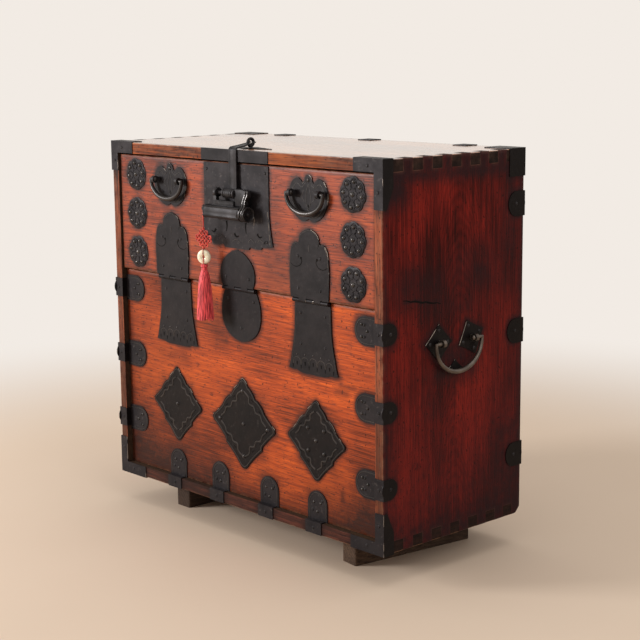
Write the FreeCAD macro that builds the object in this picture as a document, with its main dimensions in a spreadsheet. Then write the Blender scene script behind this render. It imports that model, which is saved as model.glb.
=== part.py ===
"""Half-opening chest with black ironwork, a hasp, a bar padlock and a tassel.

Frame: +X to the right, -Y to the front, +Z up, millimetres. The origin is on the
ground under the centre of the chest and its ironwork. The case is made of finger
jointed boards, its upper front is a flap hinged at mid height, and the padlock's
bar passes through two staple rings on the flap and the eye of the hasp.
"""

import FreeCAD, Part
import math
import os
import re

import Sketcher

DOCUMENT = FreeCAD.newDocument("HalfOpeningChest")
SHEET = DOCUMENT.addObject("Spreadsheet::Sheet", "Sizes")
PARTS = []

# ---------------------------------------------------------------- driving sizes
SIZES = (
    # the case and its boards
    ("case_wide", 775), ("case_deep", 366), ("case_tall", 690),
    ("side_thick", 20), ("top_thick", 22), ("bottom_thick", 22), ("back_thick", 12),
    ("finger_count", 7), ("worn_corner", 14), ("back_split", 300),
    # the two runners that it stands on
    ("runner_tall", 60), ("runner_wide", 42), ("runner_length", 270), ("runner_setback", 50),
    ("runner_inset", 119), ("runner_skew", 8), ("runner_round", 4),
    # the front: a flap above, a fixed panel below, both set back between the sides
    ("flap_recess", 4), ("flap_thick", 20), ("flap_tall", 232), ("flap_gap", 3.2),
    ("flap_side_gap", 2), ("panel_recess", 11.5), ("panel_thick", 18), ("hinge_gap", 2.5),
    # sheet iron
    ("iron_thick", 1.5), ("leaf_thick", 1.8),
    # hinges
    ("hinge_inset", 187.5), ("barrel_wide", 8.4), ("barrel_gap", 0.5), ("barrel_long", 94),
    ("knuckle_gap", 0.6), ("pin_wide", 4), ("pin_play", 0.1),
    ("upper_leaf_wide", 104), ("upper_leaf_tall", 126), ("lower_leaf_wide", 130),
    ("lower_leaf_tall", 130), ("gourd_top_wide", 100), ("gourd_top_tall", 70),
    ("gourd_low_wide", 113), ("gourd_low_tall", 96),
    # diamond plates on the fixed panel
    ("diamond_gap", 36.5), ("diamond_wide", 153), ("diamond_foot_gap", 18.5),
    ("diamond_head_gap", 45.9), ("great_diamond_wide", 184), ("great_diamond_rise", 78),
    ("great_diamond_head_gap", 71.4),
    # lock plates
    ("lock_plate_wide", 206), ("lock_plate_tall", 157), ("lock_plate_drop", 27),
    ("rail_plate_wide", 192),
    # rosettes
    ("rosette_inset", 55.5), ("rosette_wide", 65), ("petal_wide", 17), ("petal_tall", 2.6),
    ("rosette_first_drop", 63), ("rosette_pitch", 78),
    # front handles
    ("handle_inset", 187.5), ("handle_plate_wide", 102), ("handle_plate_tall", 82),
    ("handle_plate_drop", 36), ("handle_drop", 68), ("post_reach", 37), ("bail_half", 50),
    ("bail_fall", 36), ("bail_thick", 8), ("bail_stand", 10), ("bail_stub", 17),
    ("bail_bend", 4.5), ("post_wide", 14), ("post_thick", 7), ("post_play", 0.6),
    # side handles
    ("side_handle_drop", 330), ("side_handle_inset", 180), ("side_post_reach", 42.5),
    ("side_bail_half", 60), ("side_bail_fall", 55), ("side_bail_stub", 24),
    ("lozenge_wide", 68), ("lozenge_tall", 68), ("lozenge_turn", 20), ("rest_wide", 40),
    ("rest_tall", 26), ("rest_drop", 48),
    # straps and corner irons
    ("strap_drop", 298), ("strap_rise", 118), ("strap_tall", 52), ("strap_reach", 80),
    ("strap_neck", 38), ("strap_side_reach", 33),
    ("rear_strap_drop", 100), ("rear_strap_rise", 118), ("rear_strap_tall", 46),
    ("rear_strap_reach", 44),
    ("foot_strap_wide", 52), ("foot_strap_tall", 78), ("foot_strap_neck", 42),
    ("foot_strap_inset", 180.5), ("foot_strap_reach", 73),
    ("top_strap_wide", 34), ("top_strap_reach", 30), ("top_strap_spacing", 255),
    ("corner_side_reach", 24), ("corner_tip_reach", 8), ("corner_taper", 40),
    ("corner_top_run", 70), ("corner_top_fall", 85), ("left_corner_fall", 58),
    ("corner_foot_run", 82), ("corner_foot_rise", 75), ("rear_corner_run", 60),
    ("rear_corner_fall", 50), ("rear_corner_reach", 42),
    # hasp and its cotter
    ("hasp_wide", 22), ("hasp_thick", 3), ("hasp_gap", 0.5), ("hasp_end", 49),
    ("fork_gap", 7.4), ("cotter_setback", 41), ("ring_mid", 6.6), ("ring_wire", 3),
    ("ring_gap", 0.1), ("cotter_leg", 2), ("clinch_reach", 14), ("cotter_leaf_wide", 120),
    ("cotter_leaf_deep", 36), ("eye_wide", 18), ("bar_drop", 80),
    # padlock
    ("bar_wide", 7.4), ("bar_play", 0.6), ("bar_tip", 40), ("staple_reach", 14.5),
    ("staple_thick", 5), ("staple_wide", 18), ("tube_wide", 25), ("tube_bore", 18),
    ("tube_drop", 116), ("tube_stand", 14), ("tube_left", 61), ("tube_right", 44),
    ("fin_thick", 8), ("fin_drop", 94), ("fin_left", 42), ("fin_right", 16.5),
    ("lug_thick", 8), ("lug_wide", 18), ("cap_wide", 28.4), ("cap_bore", 25.8),
    ("cap_left", 34), ("cap_right", 55), ("cap_end", 5), ("head_left", 18), ("head_right", 52),
    ("scroll_wide", 14),
    ("end_disc_thick", 3), ("boss_wide", 8), ("shaft_thick", 3), ("shaft_tall", 12),
    ("shaft_tip", 40), ("spring_thick", 1), ("spring_flare", 6), ("spring_long", 36),
    # tassel, hung from a small eye on the padlock
    ("tassel_eye_reach", 68), ("tassel_eye_stand", 22), ("tassel_eye_wide", 8),
    ("tassel_eye_hole", 4), ("cord_wide", 2.4), ("cord_long", 31.5), ("cord_gap", 0.4),
    ("knot_wide", 44), ("knot_tall", 42), ("knot_thick", 11), ("bead_wide", 29),
    ("bead_tall", 28), ("bead_hole", 5), ("neck_wide", 13), ("tassel_tall", 109),
    ("tassel_wide", 34),
    # nails
    ("nail_wide", 6.5), ("nail_tall", 1.6),
)


def fill_sheet():
    """Write each driving size and its alias into the sheet."""
    for row, (name, value) in enumerate(SIZES, start=1):
        SHEET.set(f"A{row}", name)
        SHEET.set(f"B{row}", str(value))
        SHEET.setAlias(f"B{row}", name)
    DOCUMENT.recompute()


fill_sheet()

# ------------------------------------------- places worked out from the sizes
TOP = "(runner_tall + case_tall)"
FLOOR = "runner_tall"
HALF = "(case_wide / 2)"
INNER = "(case_wide / 2 - side_thick)"
FRONT = "((tube_stand + cap_wide / 2 - iron_thick - case_deep) / 2)"
BACK = f"({FRONT} + case_deep)"
FLAP_FACE = f"({FRONT} + flap_recess)"
PANEL_FACE = f"({FRONT} + panel_recess)"
FLAP_TOP = f"({TOP} - top_thick - flap_gap)"
FLAP_LOW = f"({FLAP_TOP} - flap_tall)"
PANEL_LOW = f"({FLOOR} + bottom_thick)"
HINGE_Y = f"({FLAP_FACE} - leaf_thick + barrel_wide / 2)"
HINGE_Z = f"({FLAP_LOW} - barrel_gap - barrel_wide / 2)"
BAR_Y = f"({FRONT} - iron_thick - hasp_gap - eye_wide / 2)"
BAR_Z = f"({TOP} - bar_drop)"
TUBE_Y = f"({FRONT} - tube_stand)"
TUBE_Z = f"({TOP} - tube_drop)"
BAR_BORE = "(bar_wide + bar_play) / 2"
FINGER = "(case_deep / (2 * finger_count + 1))"
HINGE_X = f"({HALF} - hinge_inset)"
HANDLE_X = f"({HALF} - handle_inset)"
ROSETTE_X = f"({INNER} - rosette_inset)"
LEAF_TOP = f"({HINGE_Z} - barrel_gap - barrel_wide / 2)"
DIAMOND_X = "(great_diamond_wide / 2 + diamond_gap + diamond_wide / 2)"
DIAMOND_LOW = f"({FLOOR} + foot_strap_tall + diamond_foot_gap)"
DIAMOND_TALL = f"({LEAF_TOP} - lower_leaf_tall - diamond_head_gap - {DIAMOND_LOW})"
GREAT_LOW = f"({FLOOR} + great_diamond_rise)"
GREAT_TALL = f"({LEAF_TOP} - gourd_low_tall - great_diamond_head_gap - {GREAT_LOW})"
STRAP_X = f"({HALF} - foot_strap_inset)"
STRAP_ROWS = (f"({TOP} - strap_drop)", f"(({TOP} - strap_drop + {FLOOR} + strap_rise) / 2)",
              f"({FLOOR} + strap_rise)")
REAR_STRAP_ROWS = (f"({TOP} - rear_strap_drop)",
                   f"(({TOP} - rear_strap_drop + {FLOOR} + rear_strap_rise) / 2)",
                   f"({FLOOR} + rear_strap_rise)")
RING_Y = f"({FRONT} + cotter_setback)"
RING_Z = f"({TOP} + iron_thick + ring_gap + ring_mid + ring_wire)"

ALONG_X = FreeCAD.Rotation(FreeCAD.Vector(0, 1, 0), 90)
TO_FRONT = FreeCAD.Rotation(FreeCAD.Vector(1, 0, 0), 90)
BACK_ALONG_X = FreeCAD.Rotation(FreeCAD.Vector(0, 1, 0), -90)
ALONG_Y = FreeCAD.Rotation(FreeCAD.Vector(1, 0, 0), -90)
UPRIGHT = FreeCAD.Rotation()


# ------------------------------------------------------------ building helpers
def sized(text):
    """Return an expression that reads every named size from the sheet."""
    return re.sub(r"[a-z]+(?:_[a-z]+)+", r"Sizes.\g<0>", text)


def bind(thing, **sizes):
    """Bind properties of an object to expressions of the named sizes."""
    for name, text in sizes.items():
        thing.setExpression(name, sized(text))
    return thing


def place(thing, x="0", y="0", z="0", turn=UPRIGHT):
    """Turn an object, then bind its position to expressions."""
    thing.Placement = FreeCAD.Placement(FreeCAD.Vector(), turn)
    for axis, text in (("x", x), ("y", y), ("z", z)):
        thing.setExpression(f"Placement.Base.{axis}", sized(text))
    return thing


def measured(text):
    """Work out an expression of the named sizes by giving it to a box for a moment."""
    gauge = bind(DOCUMENT.addObject("Part::Box", "Gauge"), Length=text)
    gauge.recompute()
    value = gauge.Length.Value
    DOCUMENT.removeObject(gauge.Name)
    return value


def slab(x, y, z):
    """Make a box from (low, high) pairs of expressions along each axis."""
    block = DOCUMENT.addObject("Part::Box", "Slab")
    bind(block, Length=f"{x[1]} - ({x[0]})", Width=f"{y[1]} - ({y[0]})", Height=f"{z[1]} - ({z[0]})")
    return place(block, x[0], y[0], z[0])


def rod(radius, length, x, y, z, turn=ALONG_X):
    """Make a cylinder that starts at a point and runs along its turned axis."""
    cylinder = bind(DOCUMENT.addObject("Part::Cylinder", "Rod"), Radius=radius, Height=length)
    return place(cylinder, x, y, z, turn)


def fused(*shapes):
    """Join shapes into one solid."""
    union = DOCUMENT.addObject("Part::MultiFuse", "Joined")
    union.Shapes = list(shapes)
    union.Refine = True
    return union


def cut(base, *tools):
    """Take one or more tools out of a base shape."""
    result = DOCUMENT.addObject("Part::Cut", "Cut")
    result.Base = base
    result.Tool = tools[0] if len(tools) == 1 else fused(*tools)
    return result


def group(*shapes):
    """Hold separate solids together as one sub-part."""
    compound = DOCUMENT.addObject("Part::Compound", "Group")
    compound.Links = list(shapes)
    return compound


def mirrored(source):
    """Copy a sub-part to the other side of the chest."""
    copy = DOCUMENT.addObject("Part::Mirroring", "Mirrored")
    copy.Source = source
    copy.Normal = FreeCAD.Vector(1, 0, 0)
    return copy


def keep(label, thing):
    """Name a finished sub-part, which is written to a file of that name."""
    thing.Label = label
    PARTS.append(thing)
    return thing


def new_sketch(body, plane):
    """Attach an empty sketch to one of a body's own origin planes."""
    sketch = body.newObject("Sketcher::SketchObject", "Sketch")
    support = next(item for item in body.Origin.OriginFeatures if item.Role == plane)
    sketch.AttachmentSupport = [(support, "")]
    sketch.MapMode = "FlatFace"
    return sketch


def pin(sketch, edge, end, across, up):
    """Fix a sketch point at two expressions, measured from the sketch's origin."""
    point = sketch.getPoint(edge, end)
    for kind, text, start in (("DistanceX", across, point.x), ("DistanceY", up, point.y)):
        rule = sketch.addConstraint(Sketcher.Constraint(kind, -1, 1, edge, end, start))
        sketch.setExpression(f"Constraints[{rule}]", sized(text))


def draw_polygon(sketch, corners):
    """Draw a closed polygon through (across, up) pairs of expressions."""
    first = len(sketch.Geometry)
    count = len(corners)
    ring = [FreeCAD.Vector(math.cos(2 * math.pi * i / count), math.sin(2 * math.pi * i / count), 0)
            for i in range(count)]
    for index in range(count):
        sketch.addGeometry(Part.LineSegment(ring[index], ring[(index + 1) % count]))
    for index in range(count):
        following = first + (index + 1) % count
        sketch.addConstraint(Sketcher.Constraint("Coincident", first + index, 2, following, 1))
    for index, (across, up) in enumerate(corners):
        pin(sketch, first + index, 1, across, up)


def draw_outline(sketch, wide, tall, points):
    """Draw a closed outline of lines and arcs from shares of a width and a height.

    Each point is (share across, share up, bulge of the edge that arrives there), where
    bulge is the tangent of a quarter of the arc's angle and is positive when the edge
    swells outward on an outline that runs counter-clockwise.
    """
    width, height = measured(wide), measured(tall)
    ends = [2 if bulge >= 0 else 1 for _, _, bulge in points]
    other_end = {1: 2, 2: 1}
    for index, (across, up, bulge) in enumerate(points):
        before_across, before_up, _ = points[index - 1]
        start = FreeCAD.Vector(before_across * width, before_up * height, 0)
        stop = FreeCAD.Vector(across * width, up * height, 0)
        run = stop - start
        middle = (start + stop) * 0.5 + FreeCAD.Vector(run.y, -run.x, 0) * (bulge / 2)
        if bulge > 0:
            sketch.addGeometry(Part.Arc(start, middle, stop))
        elif bulge < 0:
            sketch.addGeometry(Part.Arc(stop, middle, start))
        else:
            sketch.addGeometry(Part.LineSegment(start, stop))
    for index, (across, up, bulge) in enumerate(points):
        following = (index + 1) % len(points)
        sketch.addConstraint(
            Sketcher.Constraint("Coincident", index, ends[index], following, other_end[ends[following]]))
        pin(sketch, index, ends[index], f"{wide} * {across}", f"{tall} * {up}")
        if bulge:
            before_across, before_up, _ = points[index - 1]
            share = (1 + bulge ** 2) / (4 * abs(bulge))
            radius = sketch.Geometry[index].Radius
            rule = sketch.addConstraint(Sketcher.Constraint("Radius", index, radius))
            reach = f"({wide} * {across - before_across})"
            climb = f"({tall} * {up - before_up})"
            text = f"sqrt({reach} ^ 2 + {climb} ^ 2) * {share}"
            sketch.setExpression(f"Constraints[{rule}]", sized(text))


def both_sides(half):
    """Mirror the right half of an outline, which ends on the centre line at the top."""
    left = [(-across, up, bulge) for (across, up, _), (_, _, bulge) in zip(half[-2::-1], half[:0:-1])]
    if half[0][0] == 0:
        left.pop()
        return [(0, half[0][1], half[1][2])] + half[1:] + left
    return half + left


def plate(plane, wide, tall, thick, half):
    """Cut a symmetrical plate out of sheet iron, standing on its lower middle point."""
    body = DOCUMENT.addObject("PartDesign::Body", "Plate")
    sketch = new_sketch(body, plane)
    draw_outline(sketch, wide, tall, both_sides(half))
    pad = body.newObject("PartDesign::Pad", "Thickness")
    pad.Profile = sketch
    bind(pad, Length=thick)
    return body


def board_with_fingers(plane, outline, notches, thick, count):
    """Pad a board and cut a row of finger joint notches along its depth."""
    body = DOCUMENT.addObject("PartDesign::Body", "Board")
    sketch = new_sketch(body, plane)
    draw_polygon(sketch, outline)
    pad = body.newObject("PartDesign::Pad", "Thickness")
    pad.Profile = sketch
    bind(pad, Length=thick)
    notch_sketch = new_sketch(body, plane)
    for notch in notches:
        draw_polygon(notch_sketch, notch)
    pocket = body.newObject("PartDesign::Pocket", "Notches")
    pocket.Profile = notch_sketch
    pocket.Type = "ThroughAll"
    pocket.Midplane = True
    rows = body.newObject("PartDesign::LinearPattern", "Fingers")
    rows.Originals = [pocket]
    rows.Direction = (notch_sketch, ["V_Axis" if plane == "XY_Plane" else "H_Axis"])
    bind(rows, Length=f"2 * ({count} - 1) * {FINGER}", Occurrences=count)
    body.Tip = rows
    return body


def frame(left, right, low, high):
    """Return the corners of a rectangle, counter-clockwise."""
    return [(left, low), (right, low), (right, high), (left, high)]


# --------------------------------------------------------------------- woodwork
def make_boards():
    """Build the finger jointed case, its back and the fixed front panel."""
    for label, low, thick in (("top_board", f"{TOP} - top_thick", "top_thick"),
                              ("bottom_board", FLOOR, "bottom_thick")):
        board = board_with_fingers(
            "XY_Plane", frame(f"-{HALF}", HALF, "0", "case_deep"),
            [frame(f"-{HALF}", f"-{INNER}", "0", FINGER), frame(INNER, HALF, "0", FINGER)],
            thick, "(finger_count + 1)")
        place(board, "0", FRONT, low)
        if label == "top_board":
            shank = slab(("-ring_wire - pin_play", "ring_wire + pin_play"),
                         (f"{RING_Y} - cotter_leg - pin_play", f"{RING_Y} + cotter_leg + pin_play"),
                         (f"{TOP} - 2 * top_thick", f"{TOP} + top_thick"))
            board = cut(board, shank)
        keep(label, board)
    sharp_corner = [("case_deep", "0")]
    worn_away = [("case_deep - worn_corner", "0"), ("case_deep", "worn_corner")]
    for label, left, foot in (("left_side_board", f"-{HALF}", sharp_corner),
                              ("right_side_board", INNER, worn_away)):
        outline = [("0", "0")] + foot + [("case_deep", "case_tall"), ("0", "case_tall")]
        notches = [frame(FINGER, f"2 * {FINGER}", "case_tall - top_thick", "case_tall"),
                   frame(FINGER, f"2 * {FINGER}", "0", "bottom_thick")]
        board = board_with_fingers("YZ_Plane", outline, notches, "side_thick", "finger_count")
        keep(label, place(board, left, FRONT, FLOOR))
    inside = (f"-{INNER}", INNER)
    back = (f"{BACK} - back_thick", BACK)
    keep("back_board_lower", slab(inside, back, (PANEL_LOW, f"{FLOOR} + back_split")))
    keep("back_board_upper", slab(inside, back, (f"{FLOOR} + back_split", f"{TOP} - top_thick")))
    keep("lower_front_panel", slab(inside, (PANEL_FACE, f"{PANEL_FACE} + panel_thick"),
                                   (PANEL_LOW, f"{FLAP_LOW} - hinge_gap")))
    keep("flap_board", slab((f"-{INNER} + flap_side_gap", f"{INNER} - flap_side_gap"),
                            (FLAP_FACE, f"{FLAP_FACE} + flap_thick"), (FLAP_LOW, FLAP_TOP)))


def make_runners():
    """Build the two runners; the right one is set on askew, turned about its front end."""
    for label, side, skew in (("left_runner", "-", "0"), ("right_runner", "", "-runner_skew")):
        body = DOCUMENT.addObject("PartDesign::Body", "Runner")
        sketch = new_sketch(body, "XY_Plane")
        draw_polygon(sketch, frame("-runner_wide / 2", "runner_wide / 2", "0", "runner_length"))
        pad = body.newObject("PartDesign::Pad", "Height")
        pad.Profile = sketch
        bind(pad, Length="runner_tall")
        DOCUMENT.recompute()
        upright = [f"Edge{i + 1}" for i, edge in enumerate(pad.Shape.Edges)
                   if abs(edge.tangentAt(edge.FirstParameter).z) > 0.9]
        corners = body.newObject("PartDesign::Fillet", "WornCorners")
        corners.Base = (pad, upright)
        bind(corners, Radius="runner_round")
        body.Tip = corners
        place(body, f"{side}({HALF} - runner_inset - runner_wide / 2)", f"{FRONT} + runner_setback",
              turn=FreeCAD.Rotation(FreeCAD.Vector(0, 0, 1), 1))
        bind(body, **{"Placement.Rotation.Angle": skew})
        keep(label, body)


# ----------------------------------------------------------------------- hinges
UPPER_LEAF = [(0.48, 0, 0), (0.5, 0.36, 0), (0.47, 0.66, 0.04), (0.37, 0.79, 0.22), (0.28, 0.79, 0.15),
              (0.25, 0.87, -0.25), (0.13, 0.965, 0.2), (0, 1, 0.08)]
LOWER_LEAF = [(0.18, 0, 0), (0.34, 0.035, 0.12), (0.5, 0.045, 0.1), (0.445, 0.25, -0.06),
              (0.375, 0.62, -0.05), (0.36, 1, 0), (0, 1, 0)]
GOURD_TOP = [(0.44, 0, 0), (0.5, 0.33, 0.12), (0.35, 0.76, 0.24), (0, 1, 0.16)]
GOURD_LOW = [(0, 0, 0), (0.36, 0.16, 0.17), (0.5, 0.52, 0.2), (0.40, 1, 0.16), (0, 1, 0)]


def knuckles(centre, odd, webs):
    """Return every other knuckle of a barrel, each joined to its leaf by a web."""
    pitch = "(barrel_long / 5)"
    rolls = []
    for index in range(5):
        if index % 2 != odd:
            continue
        left = f"{centre} + ({index} - 2.5) * {pitch} + knuckle_gap / 2"
        length = f"({pitch} - knuckle_gap)"
        rolls.append(rod("barrel_wide / 2", length, left, HINGE_Y, HINGE_Z))
        rolls.append(slab((left, f"{left} + {length}"), *webs))
    return rolls


def pin_bore(centre):
    """Return the bore that runs through a barrel."""
    return rod("(pin_wide + pin_play) / 2", "2 * barrel_long", f"{centre} - barrel_long", HINGE_Y, HINGE_Z)


def make_hinges():
    """Build three hinges: two long ones and a gourd shaped one in the middle."""
    kinds = (
        ("left_hinge", f"-{HINGE_X}", "upper_leaf", UPPER_LEAF, "lower_leaf", LOWER_LEAF),
        ("middle_hinge", "0", "gourd_top", GOURD_TOP, "gourd_low", GOURD_LOW),
        ("right_hinge", HINGE_X, "upper_leaf", UPPER_LEAF, "lower_leaf", LOWER_LEAF),
    )
    pins = []
    moving_web = ((f"{FLAP_FACE} - leaf_thick", FLAP_FACE), (HINGE_Z, FLAP_LOW))
    fixed_web = ((f"{PANEL_FACE} - leaf_thick", PANEL_FACE), (LEAF_TOP, HINGE_Z))
    for name, centre, upper, upper_half, lower, lower_half in kinds:
        leaf = plate("XZ_Plane", f"{upper}_wide", f"{upper}_tall", "leaf_thick", upper_half)
        place(leaf, centre, FLAP_FACE, FLAP_LOW)
        keep(f"{name}_upper_leaf", cut(fused(leaf, *knuckles(centre, 1, moving_web)), pin_bore(centre)))
        leaf = plate("XZ_Plane", f"{lower}_wide", f"{lower}_tall", "leaf_thick", lower_half)
        place(leaf, centre, PANEL_FACE, f"{LEAF_TOP} - {lower}_tall")
        keep(f"{name}_lower_leaf", cut(fused(leaf, *knuckles(centre, 0, fixed_web)), pin_bore(centre)))
        pins.append(rod("pin_wide / 2", "barrel_long", f"{centre} - barrel_long / 2", HINGE_Y, HINGE_Z))
    keep("hinge_pins", group(*pins))


# ------------------------------------------------------------- plates and irons
FOOT_STRAPS = (f"-{STRAP_X}", "-foot_strap_reach", "foot_strap_reach", STRAP_X)
DIAMOND = [(0, 0, 0), (0.06, 0.035, 0.2), (0.29, 0.25, -0.06), (0.31, 0.31, -0.3), (0.47, 0.455, -0.04),
           (0.5, 0.5, 0.25), (0.47, 0.545, 0.25), (0.335, 0.665, -0.05), (0.215, 0.79, 0.16),
           (0.19, 0.80, -0.3), (0.075, 0.925, 0.14), (0, 1, 0.22)]
LOCK_PLATE = [(0, 0, 0), (0.17, 0.0, 0.03), (0.2, 0.035, -0.3), (0.34, 0.022, 0.1), (0.36, 0.05, -0.3),
              (0.5, 0.07, 0.04), (0.452, 0.5, -0.05), (0.452, 1, 0), (0, 1, 0)]
BUTTERFLY = [(0, 0.06, 0), (0.17, 0, 0.25), (0.40, 0.2, 0.16), (0.5, 0.52, 0.14), (0.44, 0.8, 0.16),
             (0.25, 0.93, 0.28), (0.14, 0.82, 0.1), (0.09, 0.93, -0.2), (0, 1, 0.35)]
LOZENGE = [(0, 0, 0), (0.5, 0.5, -0.02), (0, 1, -0.02)]
REST = [(0, 0, 0), (0.5, 0.35, -0.05), (0, 1, -0.08)]
COTTER_LEAF = [(0, 0, 0), (0.24, 0.25, -0.1), (0.5, 0.5, -0.1), (0.24, 0.75, -0.1), (0, 1, -0.1)]


def make_panel_plates():
    """Build the three diamond plates that cover the fixed panel's middle."""
    for label, wide, tall, centre, low in (
            ("left_diamond", "diamond_wide", DIAMOND_TALL, f"-{DIAMOND_X}", DIAMOND_LOW),
            ("middle_diamond", "great_diamond_wide", GREAT_TALL, "0", GREAT_LOW),
            ("right_diamond", "diamond_wide", DIAMOND_TALL, DIAMOND_X, DIAMOND_LOW)):
        keep(label, place(plate("XZ_Plane", wide, tall, "iron_thick", DIAMOND), centre, PANEL_FACE, low))


def make_lock_plates():
    """Build the plate behind the padlock and the one on the edge of the top board."""
    body = plate("XZ_Plane", "lock_plate_wide", "lock_plate_tall", "leaf_thick", LOCK_PLATE)
    keep("lock_plate", place(body, "0", FLAP_FACE, f"{TOP} - lock_plate_drop - lock_plate_tall"))
    keep("top_rail_plate", slab(("-rail_plate_wide / 2", "rail_plate_wide / 2"),
                                (f"{FRONT} - iron_thick", FRONT), (f"{TOP} - top_thick", TOP)))


def rosette(drop):
    """Return one flower: a disc with a ring of eight raised petals and a centre stud."""
    body = DOCUMENT.addObject("PartDesign::Body", "Rosette")
    disc = body.newObject("PartDesign::AdditiveCylinder", "Disc")
    bind(disc, Radius="rosette_wide / 2 - petal_wide / 6", Height="iron_thick")
    petal = body.newObject("PartDesign::AdditiveCone", "Petal")
    bind(petal, Radius1="petal_wide / 2", Radius2="petal_wide / 4", Height="iron_thick + petal_tall")
    place(petal, "rosette_wide / 2 - petal_wide / 2")
    petals = body.newObject("PartDesign::PolarPattern", "Petals")
    petals.Originals = [petal]
    petals.Axis = (next(f for f in body.Origin.OriginFeatures if f.Role == "Z_Axis"), [""])
    petals.Angle = 360
    petals.Occurrences = 8
    stud = body.newObject("PartDesign::AdditiveCone", "Stud")
    bind(stud, Radius1="petal_wide / 2", Radius2="petal_wide / 5", Height="iron_thick + petal_tall")
    body.Tip = stud
    return place(body, ROSETTE_X, FLAP_FACE, f"{TOP} - {drop}", TO_FRONT)


def make_rosettes():
    """Build a column of three rosettes at each side of the flap."""
    flowers = [rosette(f"(rosette_first_drop + {row} * rosette_pitch)") for row in range(3)]
    column = keep("right_rosettes", group(*flowers))
    keep("left_rosettes", mirrored(column))


def taper(end, high):
    """Return the wedge that narrows an iron on the side face to a tip at one end."""
    start, tip = f"{FRONT} + corner_tip_reach", f"{FRONT} + corner_side_reach + iron_thick"
    body = DOCUMENT.addObject("PartDesign::Body", "Taper")
    sketch = new_sketch(body, "YZ_Plane")
    corners = [(start, "0"), (tip, "0"), (tip, "corner_taper")]
    draw_polygon(sketch, corners if high == "+" else [(y, f"-{z}") for y, z in corners])
    pad = body.newObject("PartDesign::Pad", "Width")
    pad.Profile = sketch
    pad.Midplane = True
    bind(pad, Length="2 * case_wide")
    return place(body, "0", "0", end)


def corner_iron(run, heights, bay_heights, tip, high):
    """Return a right front corner iron: folded over the board ends and round onto the side."""
    cap = slab((f"{HALF} - {run}", f"{HALF} + iron_thick"),
               (f"{FRONT} - iron_thick", f"{FRONT} + corner_side_reach"), heights)
    inside = slab(("0", HALF), (FRONT, BACK), (FLOOR, TOP))
    bay = slab(("0", INNER), (f"{FRONT} - case_deep", BACK), bay_heights)
    return cut(cap, inside, bay, taper(tip, high))


def make_corner_irons():
    """Build the folded irons that cap the corners of the case; the left top one is shorter."""
    for side, fall in (("right", "corner_top_fall"), ("left", "left_corner_fall")):
        iron = corner_iron("corner_top_run", (f"{TOP} - {fall}", f"{TOP} + iron_thick"),
                           (FLOOR, f"{TOP} - top_thick"), f"{TOP} - {fall}", "+")
        keep(f"{side}_top_corner_iron", iron if side == "right" else mirrored(iron))
    iron = corner_iron("corner_foot_run", (f"{FLOOR} - iron_thick", f"{FLOOR} + corner_foot_rise"),
                       (f"{FLOOR} + bottom_thick", TOP), f"{FLOOR} + corner_foot_rise", "-")
    keep("left_foot_corner_iron", mirrored(keep("right_foot_corner_iron", iron)))
    edge = f"({HALF} + iron_thick)"
    cap = slab((f"{HALF} - rear_corner_run", edge), (f"{BACK} - rear_corner_reach", f"{BACK} + iron_thick"),
               (f"{TOP} - rear_corner_fall", f"{TOP} + iron_thick"))
    iron = keep("right_rear_corner_iron", cut(cap, slab(("0", HALF), (FRONT, BACK), (FLOOR, TOP))))
    keep("left_rear_corner_iron", mirrored(iron))


def front_strap(middle):
    """Return a strap folded from the panel round the side board onto the side face."""
    round_end = "(strap_tall / 2)"
    neck = (f"{middle} - strap_neck / 2", f"{middle} + strap_neck / 2")
    on_panel = (f"{PANEL_FACE} - iron_thick", PANEL_FACE)
    tip = f"({HALF} - strap_reach + {round_end})"
    return fused(
        rod(round_end, "iron_thick", tip, PANEL_FACE, middle, TO_FRONT),
        slab((tip, INNER), on_panel, (f"{middle} - {round_end}", f"{middle} + {round_end}")),
        slab((f"{INNER} - iron_thick", INNER), (f"{FRONT} - iron_thick", PANEL_FACE), neck),
        slab((f"{INNER} - iron_thick", f"{HALF} + iron_thick"), (f"{FRONT} - iron_thick", FRONT), neck),
        slab((HALF, f"{HALF} + iron_thick"),
             (f"{FRONT} - iron_thick", f"{FRONT} + strap_side_reach - strap_neck / 2"), neck),
        rod("strap_neck / 2", "iron_thick", HALF, f"{FRONT} + strap_side_reach - strap_neck / 2", middle))


def rear_strap(middle):
    """Return a strap folded round the rear edge of a side board."""
    tall = (f"{middle} - rear_strap_tall / 2", f"{middle} + rear_strap_tall / 2")
    centre = f"({BACK} - rear_strap_reach + rear_strap_tall / 2)"
    inward = f"({HALF} - rear_strap_reach + rear_strap_tall / 2)"
    return fused(
        rod("rear_strap_tall / 2", "iron_thick", HALF, centre, middle),
        slab((HALF, f"{HALF} + iron_thick"), (centre, f"{BACK} + iron_thick"), tall),
        slab((inward, f"{HALF} + iron_thick"), (BACK, f"{BACK} + iron_thick"), tall),
        rod("rear_strap_tall / 2", "iron_thick", inward, f"{BACK} + iron_thick", middle, TO_FRONT))


def foot_strap(centre):
    """Return a strap folded from the panel over the ledge and down the bottom board."""
    wide = (f"{centre} - foot_strap_wide / 2", f"{centre} + foot_strap_wide / 2")
    neck = (f"{centre} - foot_strap_neck / 2", f"{centre} + foot_strap_neck / 2")
    crown = f"({FLOOR} + foot_strap_tall - foot_strap_wide / 2)"
    return fused(
        rod("foot_strap_wide / 2", "iron_thick", centre, PANEL_FACE, crown, TO_FRONT),
        slab(wide, (f"{PANEL_FACE} - iron_thick", PANEL_FACE), (PANEL_LOW, crown)),
        slab(neck, (f"{FRONT} - iron_thick", PANEL_FACE), (PANEL_LOW, f"{PANEL_LOW} + iron_thick")),
        slab(neck, (f"{FRONT} - iron_thick", FRONT), (FLOOR, f"{PANEL_LOW} + iron_thick")))


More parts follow.
